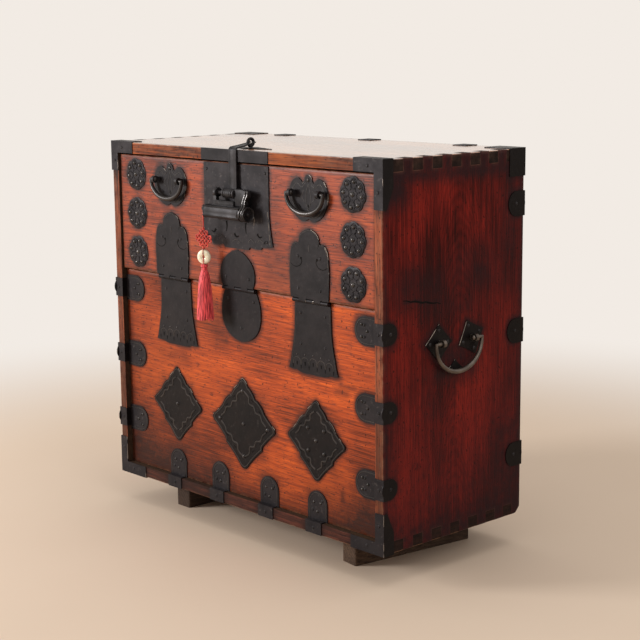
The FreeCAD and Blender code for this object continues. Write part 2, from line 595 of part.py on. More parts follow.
def top_strap(centre):
    """Return a strap folded over the rear edge of the top board."""
    wide = (f"{centre} - top_strap_wide / 2", f"{centre} + top_strap_wide / 2")
    rear = f"{BACK} + iron_thick"
    return fused(slab(wide, (f"{BACK} - top_strap_reach", rear), (TOP, f"{TOP} + iron_thick")),
                 slab(wide, (BACK, rear), (f"{TOP} - top_strap_reach", f"{TOP} + iron_thick")))


def make_straps():
    """Build the straps along the edges of the case."""
    fronts = group(*[front_strap(middle) for middle in STRAP_ROWS])
    keep("left_front_straps", mirrored(keep("right_front_straps", fronts)))
    rears = group(*[rear_strap(middle) for middle in REAR_STRAP_ROWS])
    keep("left_rear_straps", mirrored(keep("right_rear_straps", rears)))
    keep("foot_straps", group(*[foot_strap(centre) for centre in FOOT_STRAPS]))
    keep("top_straps", group(*[top_strap(f"({turn} * top_strap_spacing)") for turn in (-1, 0, 1)]))


# ---------------------------------------------------------------------- handles
def bail(half, fall, stub, tip_axis):
    """Return a drop handle about its pivot at the origin: a bow with two inturned ends.

    The bow is the lower part of a ring through both pivots; tip_axis is X or Y.
    """
    radius = f"(({half}) ^ 2 + ({fall}) ^ 2) / (2 * ({fall}))"
    ring = bind(DOCUMENT.addObject("Part::Torus", "Ring"), Radius1=radius, Radius2="bail_thick / 2")
    across = tip_axis == "X"
    place(ring, z=f"{radius} - {fall}", turn=TO_FRONT if across else BACK_ALONG_X)
    reach = (f"-2 * {half} - bail_thick", f"2 * {half} + bail_thick")
    thick = ("-bail_thick", "bail_thick")
    above = ("0", f"3 * {radius}")
    bow = cut(ring, slab(reach, thick, above) if across else slab(thick, reach, above))
    ends = []
    for side in ("-", ""):
        ball = bind(DOCUMENT.addObject("Part::Sphere", "Bend"), Radius="bail_bend")
        start = f"-({half})" if side else f"{half} - {stub}"
        if across:
            ends += [place(ball, f"{side}{half}"), rod("bail_thick / 2", stub, start, "0", "0")]
        else:
            ends += [place(ball, "0", f"{side}{half}"),
                     rod("bail_thick / 2", stub, "0", start, "0", ALONG_Y)]
    return fused(bow, *ends)


def post(centre, along):
    """Return an eye post standing out from the origin's face; its eye is round the pivot."""
    start = f"{centre} - post_thick / 2"
    thick = (start, f"{centre} + post_thick / 2")
    before = f"{centre} - post_thick"
    bore_radius = "(bail_thick + post_play) / 2"
    tall = ("-post_wide / 3", "post_wide / 3")
    if along == "X":
        eye = rod("post_wide / 2", "post_thick", start, "-bail_stand", "0")
        bore = rod(bore_radius, "2 * post_thick", before, "-bail_stand", "0")
        neck = slab(thick, ("-bail_stand", "0"), tall)
    else:
        eye = rod("post_wide / 2", "post_thick", "bail_stand", start, "0", ALONG_Y)
        bore = rod(bore_radius, "2 * post_thick", "bail_stand", before, "0", ALONG_Y)
        neck = slab(("0", "bail_stand"), thick, tall)
    return cut(fused(eye, neck), bore)


def make_front_handles():
    """Build the two handles on the flap: butterfly plate, two posts and a bail."""
    face = f"{FLAP_FACE} - iron_thick"
    pivot = f"{TOP} - handle_drop"
    body = plate("XZ_Plane", "handle_plate_wide", "handle_plate_tall", "iron_thick", BUTTERFLY)
    place(body, HANDLE_X, FLAP_FACE, f"{TOP} - handle_plate_drop - handle_plate_tall")
    keep("left_handle_plate", mirrored(keep("right_handle_plate", body)))
    posts = group(post("-post_reach", "X"), post("post_reach", "X"))
    place(posts, HANDLE_X, face, pivot)
    keep("left_handle_posts", mirrored(keep("right_handle_posts", posts)))
    handle = bail("bail_half", "bail_fall", "bail_stub", "X")
    place(handle, HANDLE_X, f"{face} - bail_stand", pivot)
    keep("left_bail", mirrored(keep("right_bail", handle)))


def make_side_handles():
    """Build the handle on each side: two lozenge plates, a rest plate, posts and a bail."""
    middle = f"({FRONT} + side_handle_inset)"
    pivot = f"({TOP} - side_handle_drop)"
    plates = []
    for side, turn in (("-", "0"), ("+", "lozenge_turn")):
        body = plate("YZ_Plane", "lozenge_wide", "lozenge_tall", "iron_thick", LOZENGE)
        turned = place(group(place(body, z="-lozenge_tall / 2")), HALF, f"{middle} {side} side_post_reach",
                       pivot, FreeCAD.Rotation(FreeCAD.Vector(1, 0, 0), 1))
        plates.append(bind(turned, **{"Placement.Rotation.Angle": turn}))
    rest = plate("YZ_Plane", "rest_wide", "rest_tall", "iron_thick", REST)
    plates.append(place(rest, HALF, middle, f"{pivot} - rest_drop - rest_tall / 2"))
    keep("left_side_plates", mirrored(keep("right_side_plates", group(*plates))))
    posts = group(post("-side_post_reach", "Y"), post("side_post_reach", "Y"))
    place(posts, f"{HALF} + iron_thick", middle, pivot)
    keep("left_side_posts", mirrored(keep("right_side_posts", posts)))
    handle = bail("side_bail_half", "side_bail_fall", "side_bail_stub", "Y")
    place(handle, f"{HALF} + iron_thick + bail_stand", middle, pivot)
    keep("left_side_bail", mirrored(keep("right_side_bail", handle)))


# --------------------------------------------------------------- hasp and cotter
def make_cotter():
    """Build the ring headed cotter on the top board and the leaf plate round its foot."""
    leaf = plate("XY_Plane", "cotter_leaf_wide", "cotter_leaf_deep", "iron_thick", COTTER_LEAF)
    place(leaf, "0", f"{RING_Y} - cotter_leaf_deep / 2", TOP)
    hole = slab(("-ring_wire - pin_play", "ring_wire + pin_play"),
                (f"{RING_Y} - cotter_leg - pin_play", f"{RING_Y} + cotter_leg + pin_play"),
                (f"{TOP} - iron_thick", f"{TOP} + 2 * iron_thick"))
    keep("cotter_leaf", cut(leaf, hole))
    ring = bind(DOCUMENT.addObject("Part::Torus", "Ring"), Radius1="ring_mid", Radius2="ring_wire")
    place(ring, "0", RING_Y, RING_Z, ALONG_X)
    under = f"({TOP} - top_thick)"
    legs = (f"{RING_Y} - cotter_leg", f"{RING_Y} + cotter_leg")
    shank = slab(("-ring_wire", "ring_wire"), legs, (f"{under} - cotter_leg", f"{RING_Z} - ring_mid"))
    clinch = slab(("-clinch_reach", "clinch_reach"), legs, (f"{under} - cotter_leg", under))
    keep("cotter_ring", fused(ring, shank, clinch))


def make_hasp():
    """Build the hasp: a strap bent over the front edge, forked behind, rolled to an eye below."""
    body = DOCUMENT.addObject("PartDesign::Body", "Hasp")
    sketch = new_sketch(body, "YZ_Plane")
    inner = "(-iron_thick - hasp_gap)"
    outer = f"({inner} - hasp_thick)"
    lift = "(iron_thick + ring_gap + ring_mid + ring_wire)"
    draw_polygon(sketch, [
        (outer, "-bar_drop"), (inner, "-bar_drop"), (inner, "hasp_gap"),
        ("hasp_thick", "hasp_gap + hasp_thick / 2"), ("hasp_end", f"{lift} - hasp_thick / 2"),
        ("hasp_end", f"{lift} + hasp_thick / 2"), ("hasp_gap", "hasp_gap + 2 * hasp_thick"),
        (outer, "hasp_gap")])
    pad = body.newObject("PartDesign::Pad", "Width")
    pad.Profile = sketch
    pad.Midplane = True
    bind(pad, Length="hasp_wide")
    place(body, "0", FRONT, TOP)
    eye = rod("eye_wide / 2", "hasp_wide", "-hasp_wide / 2", BAR_Y, BAR_Z)
    bore = rod(BAR_BORE, "2 * hasp_wide", "-hasp_wide", BAR_Y, BAR_Z)
    fork = slab(("-fork_gap / 2", "fork_gap / 2"),
                (f"{RING_Y} - ring_mid - ring_wire - fork_gap / 4", f"{RING_Y} + case_deep"),
                (f"{TOP} - top_thick", f"{TOP} + case_tall"))
    keep("hasp", cut(fused(body, eye), bore, fork))


def make_staples():
    """Build the two rings on the flap that carry the padlock's bar."""
    rings = []
    for side in ("-", ""):
        centre = f"({side}staple_reach)"
        ends = (f"{centre} - staple_thick / 2", f"{centre} + staple_thick / 2")
        eye = rod("staple_wide / 2", "staple_thick", ends[0], BAR_Y, BAR_Z)
        neck = slab(ends, (BAR_Y, f"{FLAP_FACE} - leaf_thick"),
                    (f"{BAR_Z} - staple_wide / 4", f"{BAR_Z} + staple_wide / 4"))
        bore = rod(BAR_BORE, "2 * staple_thick", f"{centre} - staple_thick", BAR_Y, BAR_Z)
        rings.append(cut(fused(eye, neck), bore))
    keep("staple_rings", group(*rings))


# ---------------------------------------------------------------------- padlock
def make_lock_case():
    """Build the padlock's case: a tube with a fin, a lug for the bar and a tassel eye."""
    tube = rod("tube_wide / 2", "tube_left + tube_right", "-tube_left", TUBE_Y, TUBE_Z)
    disc = rod("cap_wide / 2", "end_disc_thick", "-tube_left - end_disc_thick", TUBE_Y, TUBE_Z)
    fin_top = f"({TOP} - fin_drop)"
    thick = (f"{TUBE_Y} - fin_thick / 2", f"{TUBE_Y} + fin_thick / 2")
    fin = slab(("-fin_left", "fin_right"), thick, (TUBE_Z, fin_top))
    lug = slab(("-fin_left", "-fin_left + lug_thick"), (thick[0], BAR_Y), (fin_top, BAR_Z))
    lug_eye = rod("lug_wide / 2", "lug_thick", "-fin_left", BAR_Y, BAR_Z)
    cheek = slab(("-fin_left", "-fin_left + lug_thick"), (thick[0], f"{TUBE_Y} + tube_wide / 2"),
                 (TUBE_Z, fin_top))
    eye_z = f"({TUBE_Z} + tassel_eye_wide / 2)"
    eye_y = f"({FRONT} - tassel_eye_stand)"
    eye = rod("tassel_eye_wide / 2", "tassel_eye_hole", "-tassel_eye_reach",
              f"{eye_y} + tassel_eye_hole / 2", eye_z, TO_FRONT)
    arm = slab(("-tassel_eye_reach + tassel_eye_hole / 2", "-tube_left - end_disc_thick / 2"),
               (f"{eye_y} - tassel_eye_hole / 2", f"{eye_y} + tassel_eye_hole / 2"),
               (f"{eye_z} - tassel_eye_hole / 2", f"{eye_z} + tassel_eye_hole / 2"))
    eye_bore = rod("tassel_eye_hole / 2", "4 * tassel_eye_hole", "-tassel_eye_reach",
                   f"{eye_y} + 2 * tassel_eye_hole", eye_z, TO_FRONT)
    bore = rod("tube_bore / 2", "tube_left + tube_right", "-tube_left + end_disc_thick", TUBE_Y, TUBE_Z)
    bar_bore = rod(BAR_BORE, "4 * lug_thick", "-fin_left - lug_thick", BAR_Y, BAR_Z)
    keep("lock_case", cut(fused(tube, disc, fin, lug, lug_eye, cheek, eye, arm), bore, bar_bore, eye_bore))


def make_lock_bolt():
    """Build the padlock's bolt: the bar, its scrolled head, the cap and the spring shaft."""
    bar = rod("bar_wide / 2", "bar_tip + head_right", "-bar_tip", BAR_Y, BAR_Z)
    fin_top = f"({TOP} - fin_drop)"
    head_top = f"({BAR_Z} + staple_wide / 2)"
    reach = (f"{BAR_Y} - bar_wide / 2", f"{BAR_Y} + bar_wide / 2")
    head = slab(("head_left", "head_right"), reach, (fin_top, head_top))
    stem = slab(("cap_left + cap_end", "cap_right"), (f"{TUBE_Y} - bar_wide / 2", reach[1]),
                (f"{TUBE_Z} + cap_bore / 2", f"{head_top} - bar_wide"))
    scroll = rod("scroll_wide / 2", "bar_wide", "head_right", reach[1], BAR_Z, TO_FRONT)
    hook = rod("scroll_wide / 2", "bar_wide", "head_left + scroll_wide / 2", reach[1], fin_top, TO_FRONT)
    cap = rod("cap_wide / 2", "cap_right - cap_left", "cap_left", TUBE_Y, TUBE_Z)
    boss = rod("boss_wide / 2", "end_disc_thick", "cap_right", TUBE_Y, TUBE_Z)
    hollow = rod("cap_bore / 2", "cap_right - cap_left - cap_end", "cap_left", TUBE_Y, TUBE_Z)
    clear = rod("cap_bore / 2", "tube_left + cap_left", "-tube_left", TUBE_Y, TUBE_Z)
    shaft = slab(("-shaft_tip", "cap_right - cap_end / 2"),
                 (f"{TUBE_Y} - shaft_thick / 2", f"{TUBE_Y} + shaft_thick / 2"),
                 (f"{TUBE_Z} - shaft_tall / 2", f"{TUBE_Z} + shaft_tall / 2"))
    springs = []
    for side in (-1, 1):
        spring = slab(("0", "spring_long"), ("-spring_thick / 2", "spring_thick / 2"),
                      ("-shaft_tall / 3", "shaft_tall / 3"))
        leaf = group(spring)
        turn = FreeCAD.Rotation(FreeCAD.Vector(0, 0, side), 1)
        place(leaf, "-shaft_tip", f"{TUBE_Y} + {side} * shaft_thick / 2", TUBE_Z, turn)
        springs.append(bind(leaf, **{"Placement.Rotation.Angle": "spring_flare"}))
    shell = cut(fused(bar, head, stem, scroll, hook, cap, boss), hollow, clear)
    keep("lock_bolt", fused(shell, shaft, *springs))


# ----------------------------------------------------------------------- tassel
KNOT = [(0, 0, 0), (0.5, 0.5, 0.06), (0, 1, 0.06)]


def make_tassel():
    """Build the tassel group that hangs from the padlock: cord, knot, ring bead, tassel."""
    x = "-tassel_eye_reach"
    y = f"({FRONT} - tassel_eye_stand)"
    cord_top = f"({TUBE_Z} - cord_gap)"
    cord_end = f"({cord_top} - cord_long)"
    keep("tassel_cord", rod("cord_wide / 2", "cord_long", x, y, cord_end, UPRIGHT))
    knot = DOCUMENT.addObject("PartDesign::Body", "Knot")
    sketch = new_sketch(knot, "XZ_Plane")
    draw_outline(sketch, "knot_wide", "knot_tall", both_sides(KNOT))
    pad = knot.newObject("PartDesign::Pad", "Thickness")
    pad.Profile = sketch
    pad.Midplane = True
    bind(pad, Length="knot_thick")
    keep("tassel_knot", place(knot, x, y, f"{cord_end} - knot_tall"))
    bead_top = f"({cord_end} - knot_tall)"
    bead = bind(DOCUMENT.addObject("Part::Ellipsoid", "Bead"), Radius1="bead_tall / 2",
                Radius2="bead_wide / 2", Radius3="bead_wide / 3")
    place(bead, x, y, f"{bead_top} - bead_tall / 2")
    bore = rod("bead_hole / 2", "2 * bead_wide", x, f"{y} + bead_wide",
               f"{bead_top} - bead_tall / 2", TO_FRONT)
    keep("tassel_bead", cut(bead, bore))
    skirt = DOCUMENT.addObject("PartDesign::Body", "Skirt")
    sketch = new_sketch(skirt, "XZ_Plane")
    draw_polygon(sketch, [
        ("0", "-tassel_tall"), ("tassel_wide / 2", "-tassel_tall"),
        ("tassel_wide * 0.44", "-tassel_tall * 0.45"), ("tassel_wide * 0.34", "-tassel_tall * 0.2"),
        ("neck_wide / 2", "-tassel_tall * 0.11"), ("neck_wide / 2", "0"), ("0", "0")])
    turned = skirt.newObject("PartDesign::Revolution", "Turned")
    turned.Profile = sketch
    turned.ReferenceAxis = (sketch, ["V_Axis"])
    turned.Angle = 360
    keep("tassel", place(skirt, x, y, f"{bead_top} - bead_tall"))


# ------------------------------------------------------------------------ nails
FOUR_CORNERS = ((1, 1), (-1, 1), (1, -1), (-1, -1))


def nail(x, y, z, turn=TO_FRONT):
    """Return the domed head of one nail on a face."""
    head = bind(DOCUMENT.addObject("Part::Cone", "Nail"), Radius1="nail_wide / 2",
                Radius2="nail_wide / 4", Height="nail_tall")
    return place(head, x, y, z, turn)


def nails_on(wide, tall, centre, face, low, shares):
    """Return nails on a front plate at (across, up) shares of its size from its lower middle."""
    return [nail(f"{centre} + {wide} * {across}", face, f"{low} + {tall} * {up}") for across, up in shares]


def panel_nails():
    """Return the nails of the diamonds, the lower leaves and the foot straps."""
    heads = []
    on_plate = f"({PANEL_FACE} - iron_thick)"
    on_leaf = f"({PANEL_FACE} - leaf_thick)"
    heads += nails_on("great_diamond_wide", GREAT_TALL, "0", on_plate, GREAT_LOW,
                      ((0, 0.5), (0, 0.86), (0, 0.14), (0.4, 0.5), (-0.4, 0.5)))
    heads += nails_on("diamond_wide", DIAMOND_TALL, f"-{DIAMOND_X}", on_plate, DIAMOND_LOW, ((0, 0.5),))
    heads += nails_on("diamond_wide", DIAMOND_TALL, DIAMOND_X, on_plate, DIAMOND_LOW,
                      [(0, 0.5)] + [(0.14 * across, 0.5 + 0.14 * up) for across, up in FOUR_CORNERS])
    leaf_low = f"({LEAF_TOP} - lower_leaf_tall)"
    for centre in (f"-{HINGE_X}", HINGE_X):
        heads += nails_on("lower_leaf_wide", "lower_leaf_tall", centre, on_leaf, leaf_low,
                          [(0.25 * across, 0.63 + 0.22 * up) for across, up in FOUR_CORNERS])
    gourd_low = f"({LEAF_TOP} - gourd_low_tall)"
    heads += nails_on("gourd_low_wide", "gourd_low_tall", "0", on_leaf, gourd_low,
                      ((0.33, 0.83), (-0.33, 0.83), (0, 0.27)))
    for centre in FOOT_STRAPS:
        heads += nails_on("foot_strap_wide", "foot_strap_tall", centre, on_plate, FLOOR,
                          ((0.25, 0.78), (-0.25, 0.53)))
        heads.append(nail(centre, f"({FRONT} - iron_thick)", f"{FLOOR} + bottom_thick / 2"))
    return heads


def edge_nails():
    """Return the nails of the straps and the irons on the case's front edges."""
    heads = []
    on_edge = f"({FRONT} - iron_thick)"
    for side, fall in (("-", "left_corner_fall"), ("", "corner_top_fall")):
        edge = f"{side}({INNER} + side_thick / 2)"
        for middle in STRAP_ROWS:
            inward = f"{side}({HALF} - strap_reach * 0.7)"
            for up in ("+", "-"):
                heads.append(nail(inward, f"({PANEL_FACE} - iron_thick)", f"{middle} {up} strap_tall / 5"))
            heads.append(nail(edge, on_edge, middle))
        heads.append(nail(f"{side}({HALF} - corner_top_run / 2)", on_edge, f"{TOP} - top_thick / 2"))
        heads.append(nail(edge, on_edge, f"{TOP} - {fall} * 0.65"))
        heads.append(nail(f"{side}({HALF} - corner_foot_run / 2)", on_edge, f"{FLOOR} + bottom_thick / 2"))
        heads.append(nail(edge, on_edge, f"{FLOOR} + corner_foot_rise * 0.7"))
    return heads


def side_nails():
    """Return the nails of the plates and straps on the right side, as one group."""
    face = f"({HALF} + iron_thick)"
    pivot = f"({TOP} - side_handle_drop)"
    heads = []
    for half, turn in (("-", "0"), ("+", "lozenge_turn")):
        centre = f"({FRONT} + side_handle_inset {half} side_post_reach)"
        studs = [nail("0", f"{across} * lozenge_wide / 3", f"{up} * lozenge_tall / 3", ALONG_X)
                 for across, up in ((1, 0), (-1, 0), (0, 1), (0, -1))]
        turned = place(group(*studs), face, centre, pivot, FreeCAD.Rotation(FreeCAD.Vector(1, 0, 0), 1))
        heads.append(bind(turned, **{"Placement.Rotation.Angle": turn}))
    for middle in REAR_STRAP_ROWS:
        heads.append(nail(face, f"{BACK} - rear_strap_reach / 2", middle, ALONG_X))
    for middle in STRAP_ROWS:
        heads.append(nail(face, f"{FRONT} + strap_side_reach / 2", middle, ALONG_X))
    return group(*heads)


def flap_nails():
    """Return the nails of the upper leaves and the lock plate."""
    on_leaf = f"({FLAP_FACE} - leaf_thick)"
    heads = []
    for centre in (f"-{HINGE_X}", HINGE_X):
        heads += nails_on("upper_leaf_wide", "upper_leaf_tall", centre, on_leaf, FLAP_LOW,
                          [(0.28 * across, 0.37 + 0.23 * up) for across, up in FOUR_CORNERS])
    heads += nails_on("gourd_top_wide", "gourd_top_tall", "0", on_leaf, FLAP_LOW,
                      ((0.33, 0.25), (-0.33, 0.25)))
    plate_low = f"({TOP} - lock_plate_drop - lock_plate_tall)"
    heads += nails_on("lock_plate_wide", "lock_plate_tall", "0", on_leaf, plate_low,
                      ((0.42, 0.12), (-0.42, 0.12), (0.41, 0.92), (-0.41, 0.92)))
    return heads


def make_nails():
    """Build the nail heads, one group on the case and one on the flap."""
    right = side_nails()
    keep("case_nails", group(*panel_nails(), *edge_nails(), right, mirrored(right)))
    keep("flap_nails", group(*flap_nails()))


# ------------------------------------------------------------------- whole chest
def check_and_write():
    """Recompute, make sure that every sub-part is sound, and write one file for each."""
    DOCUMENT.recompute()
    for thing in DOCUMENT.Objects:
        if "Invalid" in thing.State or "Error" in thing.State:
            raise RuntimeError(f"{thing.Label} failed: {thing.State}")
    for sub_part in PARTS:
        if sub_part.Shape.isNull() or not sub_part.Shape.isValid():
            raise RuntimeError(f"{sub_part.Label} has no sound shape")
    os.makedirs("parts", exist_ok=True)
    for sub_part in PARTS:
        sub_part.Shape.exportStep(f"parts/{sub_part.Label}.step")
    print(f"wrote {len(PARTS)} sub-parts")


make_boards()
make_runners()
make_hinges()
make_panel_plates()
make_lock_plates()
make_rosettes()
make_corner_irons()
make_straps()
make_front_handles()
make_side_handles()
make_cotter()
make_hasp()
make_staples()
make_lock_case()
make_lock_bolt()
make_tassel()
make_nails()
check_and_write()
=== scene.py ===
"""A half-opening chest with black ironwork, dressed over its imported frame.

Lengths are written in millimetres in the chest's own frame (+X to the right, -Y to the
front, +Z up, origin on the ground) and become metres when a mesh is made.
"""

from __future__ import annotations

import logging
import math
from dataclasses import dataclass, field
from enum import Enum
from functools import partial
from typing import Callable, Sequence

import bmesh
import bpy
import numpy as np
from mathutils import Matrix, Vector, noise
from mathutils.bvhtree import BVHTree

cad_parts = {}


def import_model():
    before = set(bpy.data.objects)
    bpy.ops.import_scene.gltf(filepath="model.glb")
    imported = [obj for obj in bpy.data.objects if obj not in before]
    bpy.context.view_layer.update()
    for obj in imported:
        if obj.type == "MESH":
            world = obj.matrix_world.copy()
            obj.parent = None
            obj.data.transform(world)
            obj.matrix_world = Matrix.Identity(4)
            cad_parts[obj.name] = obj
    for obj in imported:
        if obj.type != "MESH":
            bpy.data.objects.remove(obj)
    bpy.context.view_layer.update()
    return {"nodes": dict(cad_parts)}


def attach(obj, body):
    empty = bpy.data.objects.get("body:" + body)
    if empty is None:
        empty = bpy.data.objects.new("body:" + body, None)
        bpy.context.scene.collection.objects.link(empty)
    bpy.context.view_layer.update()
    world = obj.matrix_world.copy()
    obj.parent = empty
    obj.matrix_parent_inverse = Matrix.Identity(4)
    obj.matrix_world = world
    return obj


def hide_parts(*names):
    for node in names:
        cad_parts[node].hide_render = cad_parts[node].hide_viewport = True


LOG = logging.getLogger("chest")
MM = 0.001
RIGHT, REAR, UP = Vector((1, 0, 0)), Vector((0, 1, 0)), Vector((0, 0, 1))
FRONT = -REAR
SIDES = ((-1, "left"), (1, "right"))
Point = tuple[float, float, float]
Flat = tuple[float, float]
Adder = Callable[..., bpy.types.Node]

# main measures in millimetres: the case, then the faces that the ironwork lies on
CASE_WIDE, CASE_DEEP, CASE_TALL = 775.0, 366.0, 690.0
FRONT_Y = -169.65
FLOOR_Z = 60.0
TOP_Z = FLOOR_Z + CASE_TALL
HALF_X = CASE_WIDE / 2
INNER_X = HALF_X - 20
FLAP_TALL = 232.0
FLAP_Y = FRONT_Y + 4
FLAP_Z = TOP_Z - 22 - 3.2 - FLAP_TALL
PANEL_Y = FRONT_Y + 11.5
LEAF_TOP_Z = FLAP_Z - 9.4
SHEET, LEAF = 1.5, 1.8
HINGE_X = 200.0
FOOT_STRAPS = (-207, -73, 73, 207)
TASSEL_X, TASSEL_Y = -68.0, FRONT_Y - 22


# ------------------------------------------------------------------ shader helpers
def linear(hex_code: str) -> tuple[float, float, float, float]:
    """Turns an sRGB hex colour into linear light.

    Args:
        hex_code: Six hex digits after a hash sign.

    Returns:
        Red, green, blue and an alpha of one.
    """
    channels = [int(hex_code[place:place + 2], 16) / 255 for place in (1, 3, 5)]
    light = [c / 12.92 if c <= 0.04045 else ((c + 0.055) / 1.055) ** 2.4 for c in channels]
    return (light[0], light[1], light[2], 1.0)


def add_node(tree: bpy.types.NodeTree, kind: str, settings: dict | None = None,
             inputs: dict | None = None, stops: Sequence[tuple[float, str]] = ()) -> bpy.types.Node:
    """Adds a shader node with its settings, its links and, on a colour ramp, its colours.

    Args:
        tree: The node tree that gets the node.
        kind: Blender's name of the node type, after "ShaderNode".
        settings: Properties of the node by name.
        inputs: What each input gets, by name or number: a value, a socket to link, or a node
            whose first output in use is linked.
        stops: Places from 0 to 1 on a colour ramp, with their hex colours.

    Returns:
        The new node.
    """
    node = tree.nodes.new(f"ShaderNode{kind}")
    for name, value in (settings or {}).items():
        setattr(node, name, value)
    for name, value in (inputs or {}).items():
        if isinstance(value, bpy.types.Node):
            value = next(socket for socket in value.outputs if socket.enabled)
        if isinstance(value, bpy.types.NodeSocket):
            tree.links.new(value, node.inputs[name])
        else:
            node.inputs[name].default_value = value
    if stops:
        elements = node.color_ramp.elements
        for element, (place, hex_code) in zip(elements, (stops[0], stops[-1])):
            element.position, element.color = place, linear(hex_code)
        for place, hex_code in stops[1:-1]:
            elements.new(place).color = linear(hex_code)
    return node


def start_material(name: str) -> tuple[bpy.types.Material, Adder]:
    """Starts an empty material.

    Args:
        name: The material's name.

    Returns:
        The material, and what adds a node to it.
    """
    material = bpy.data.materials.new(name)
    material.use_nodes = True
    material.node_tree.nodes.clear()
    return material, partial(add_node, material.node_tree)


def chest_place(add: Adder, scale: Point = (1, 1, 1)) -> bpy.types.Node:
    """Gives the surface's place on the chest in metres, stretched by a scale.

    Args:
        add: What adds a node.
        scale: The stretch along X, Y and Z.

    Returns:
        The node that holds the place.
    """
    where = add("TexCoord")
    return add("Mapping", inputs={"Vector": where.outputs["Object"], "Scale": scale})


COLOUR_MIX = {"data_type": "RGBA"}
TIMES = {"operation": "MULTIPLY"}
TIMES_PLUS = {"operation": "MULTIPLY_ADD"}


# ------------------------------------------------------------------------ finishes
class Grain(Enum):
    """Which way the fibres of a board run, as stretches along X, Y and Z."""

    ACROSS = (0.07, 1.0, 1.0)
    UPRIGHT = (1.0, 1.0, 0.07)
    FRONT_TO_BACK = (1.0, 0.07, 1.0)


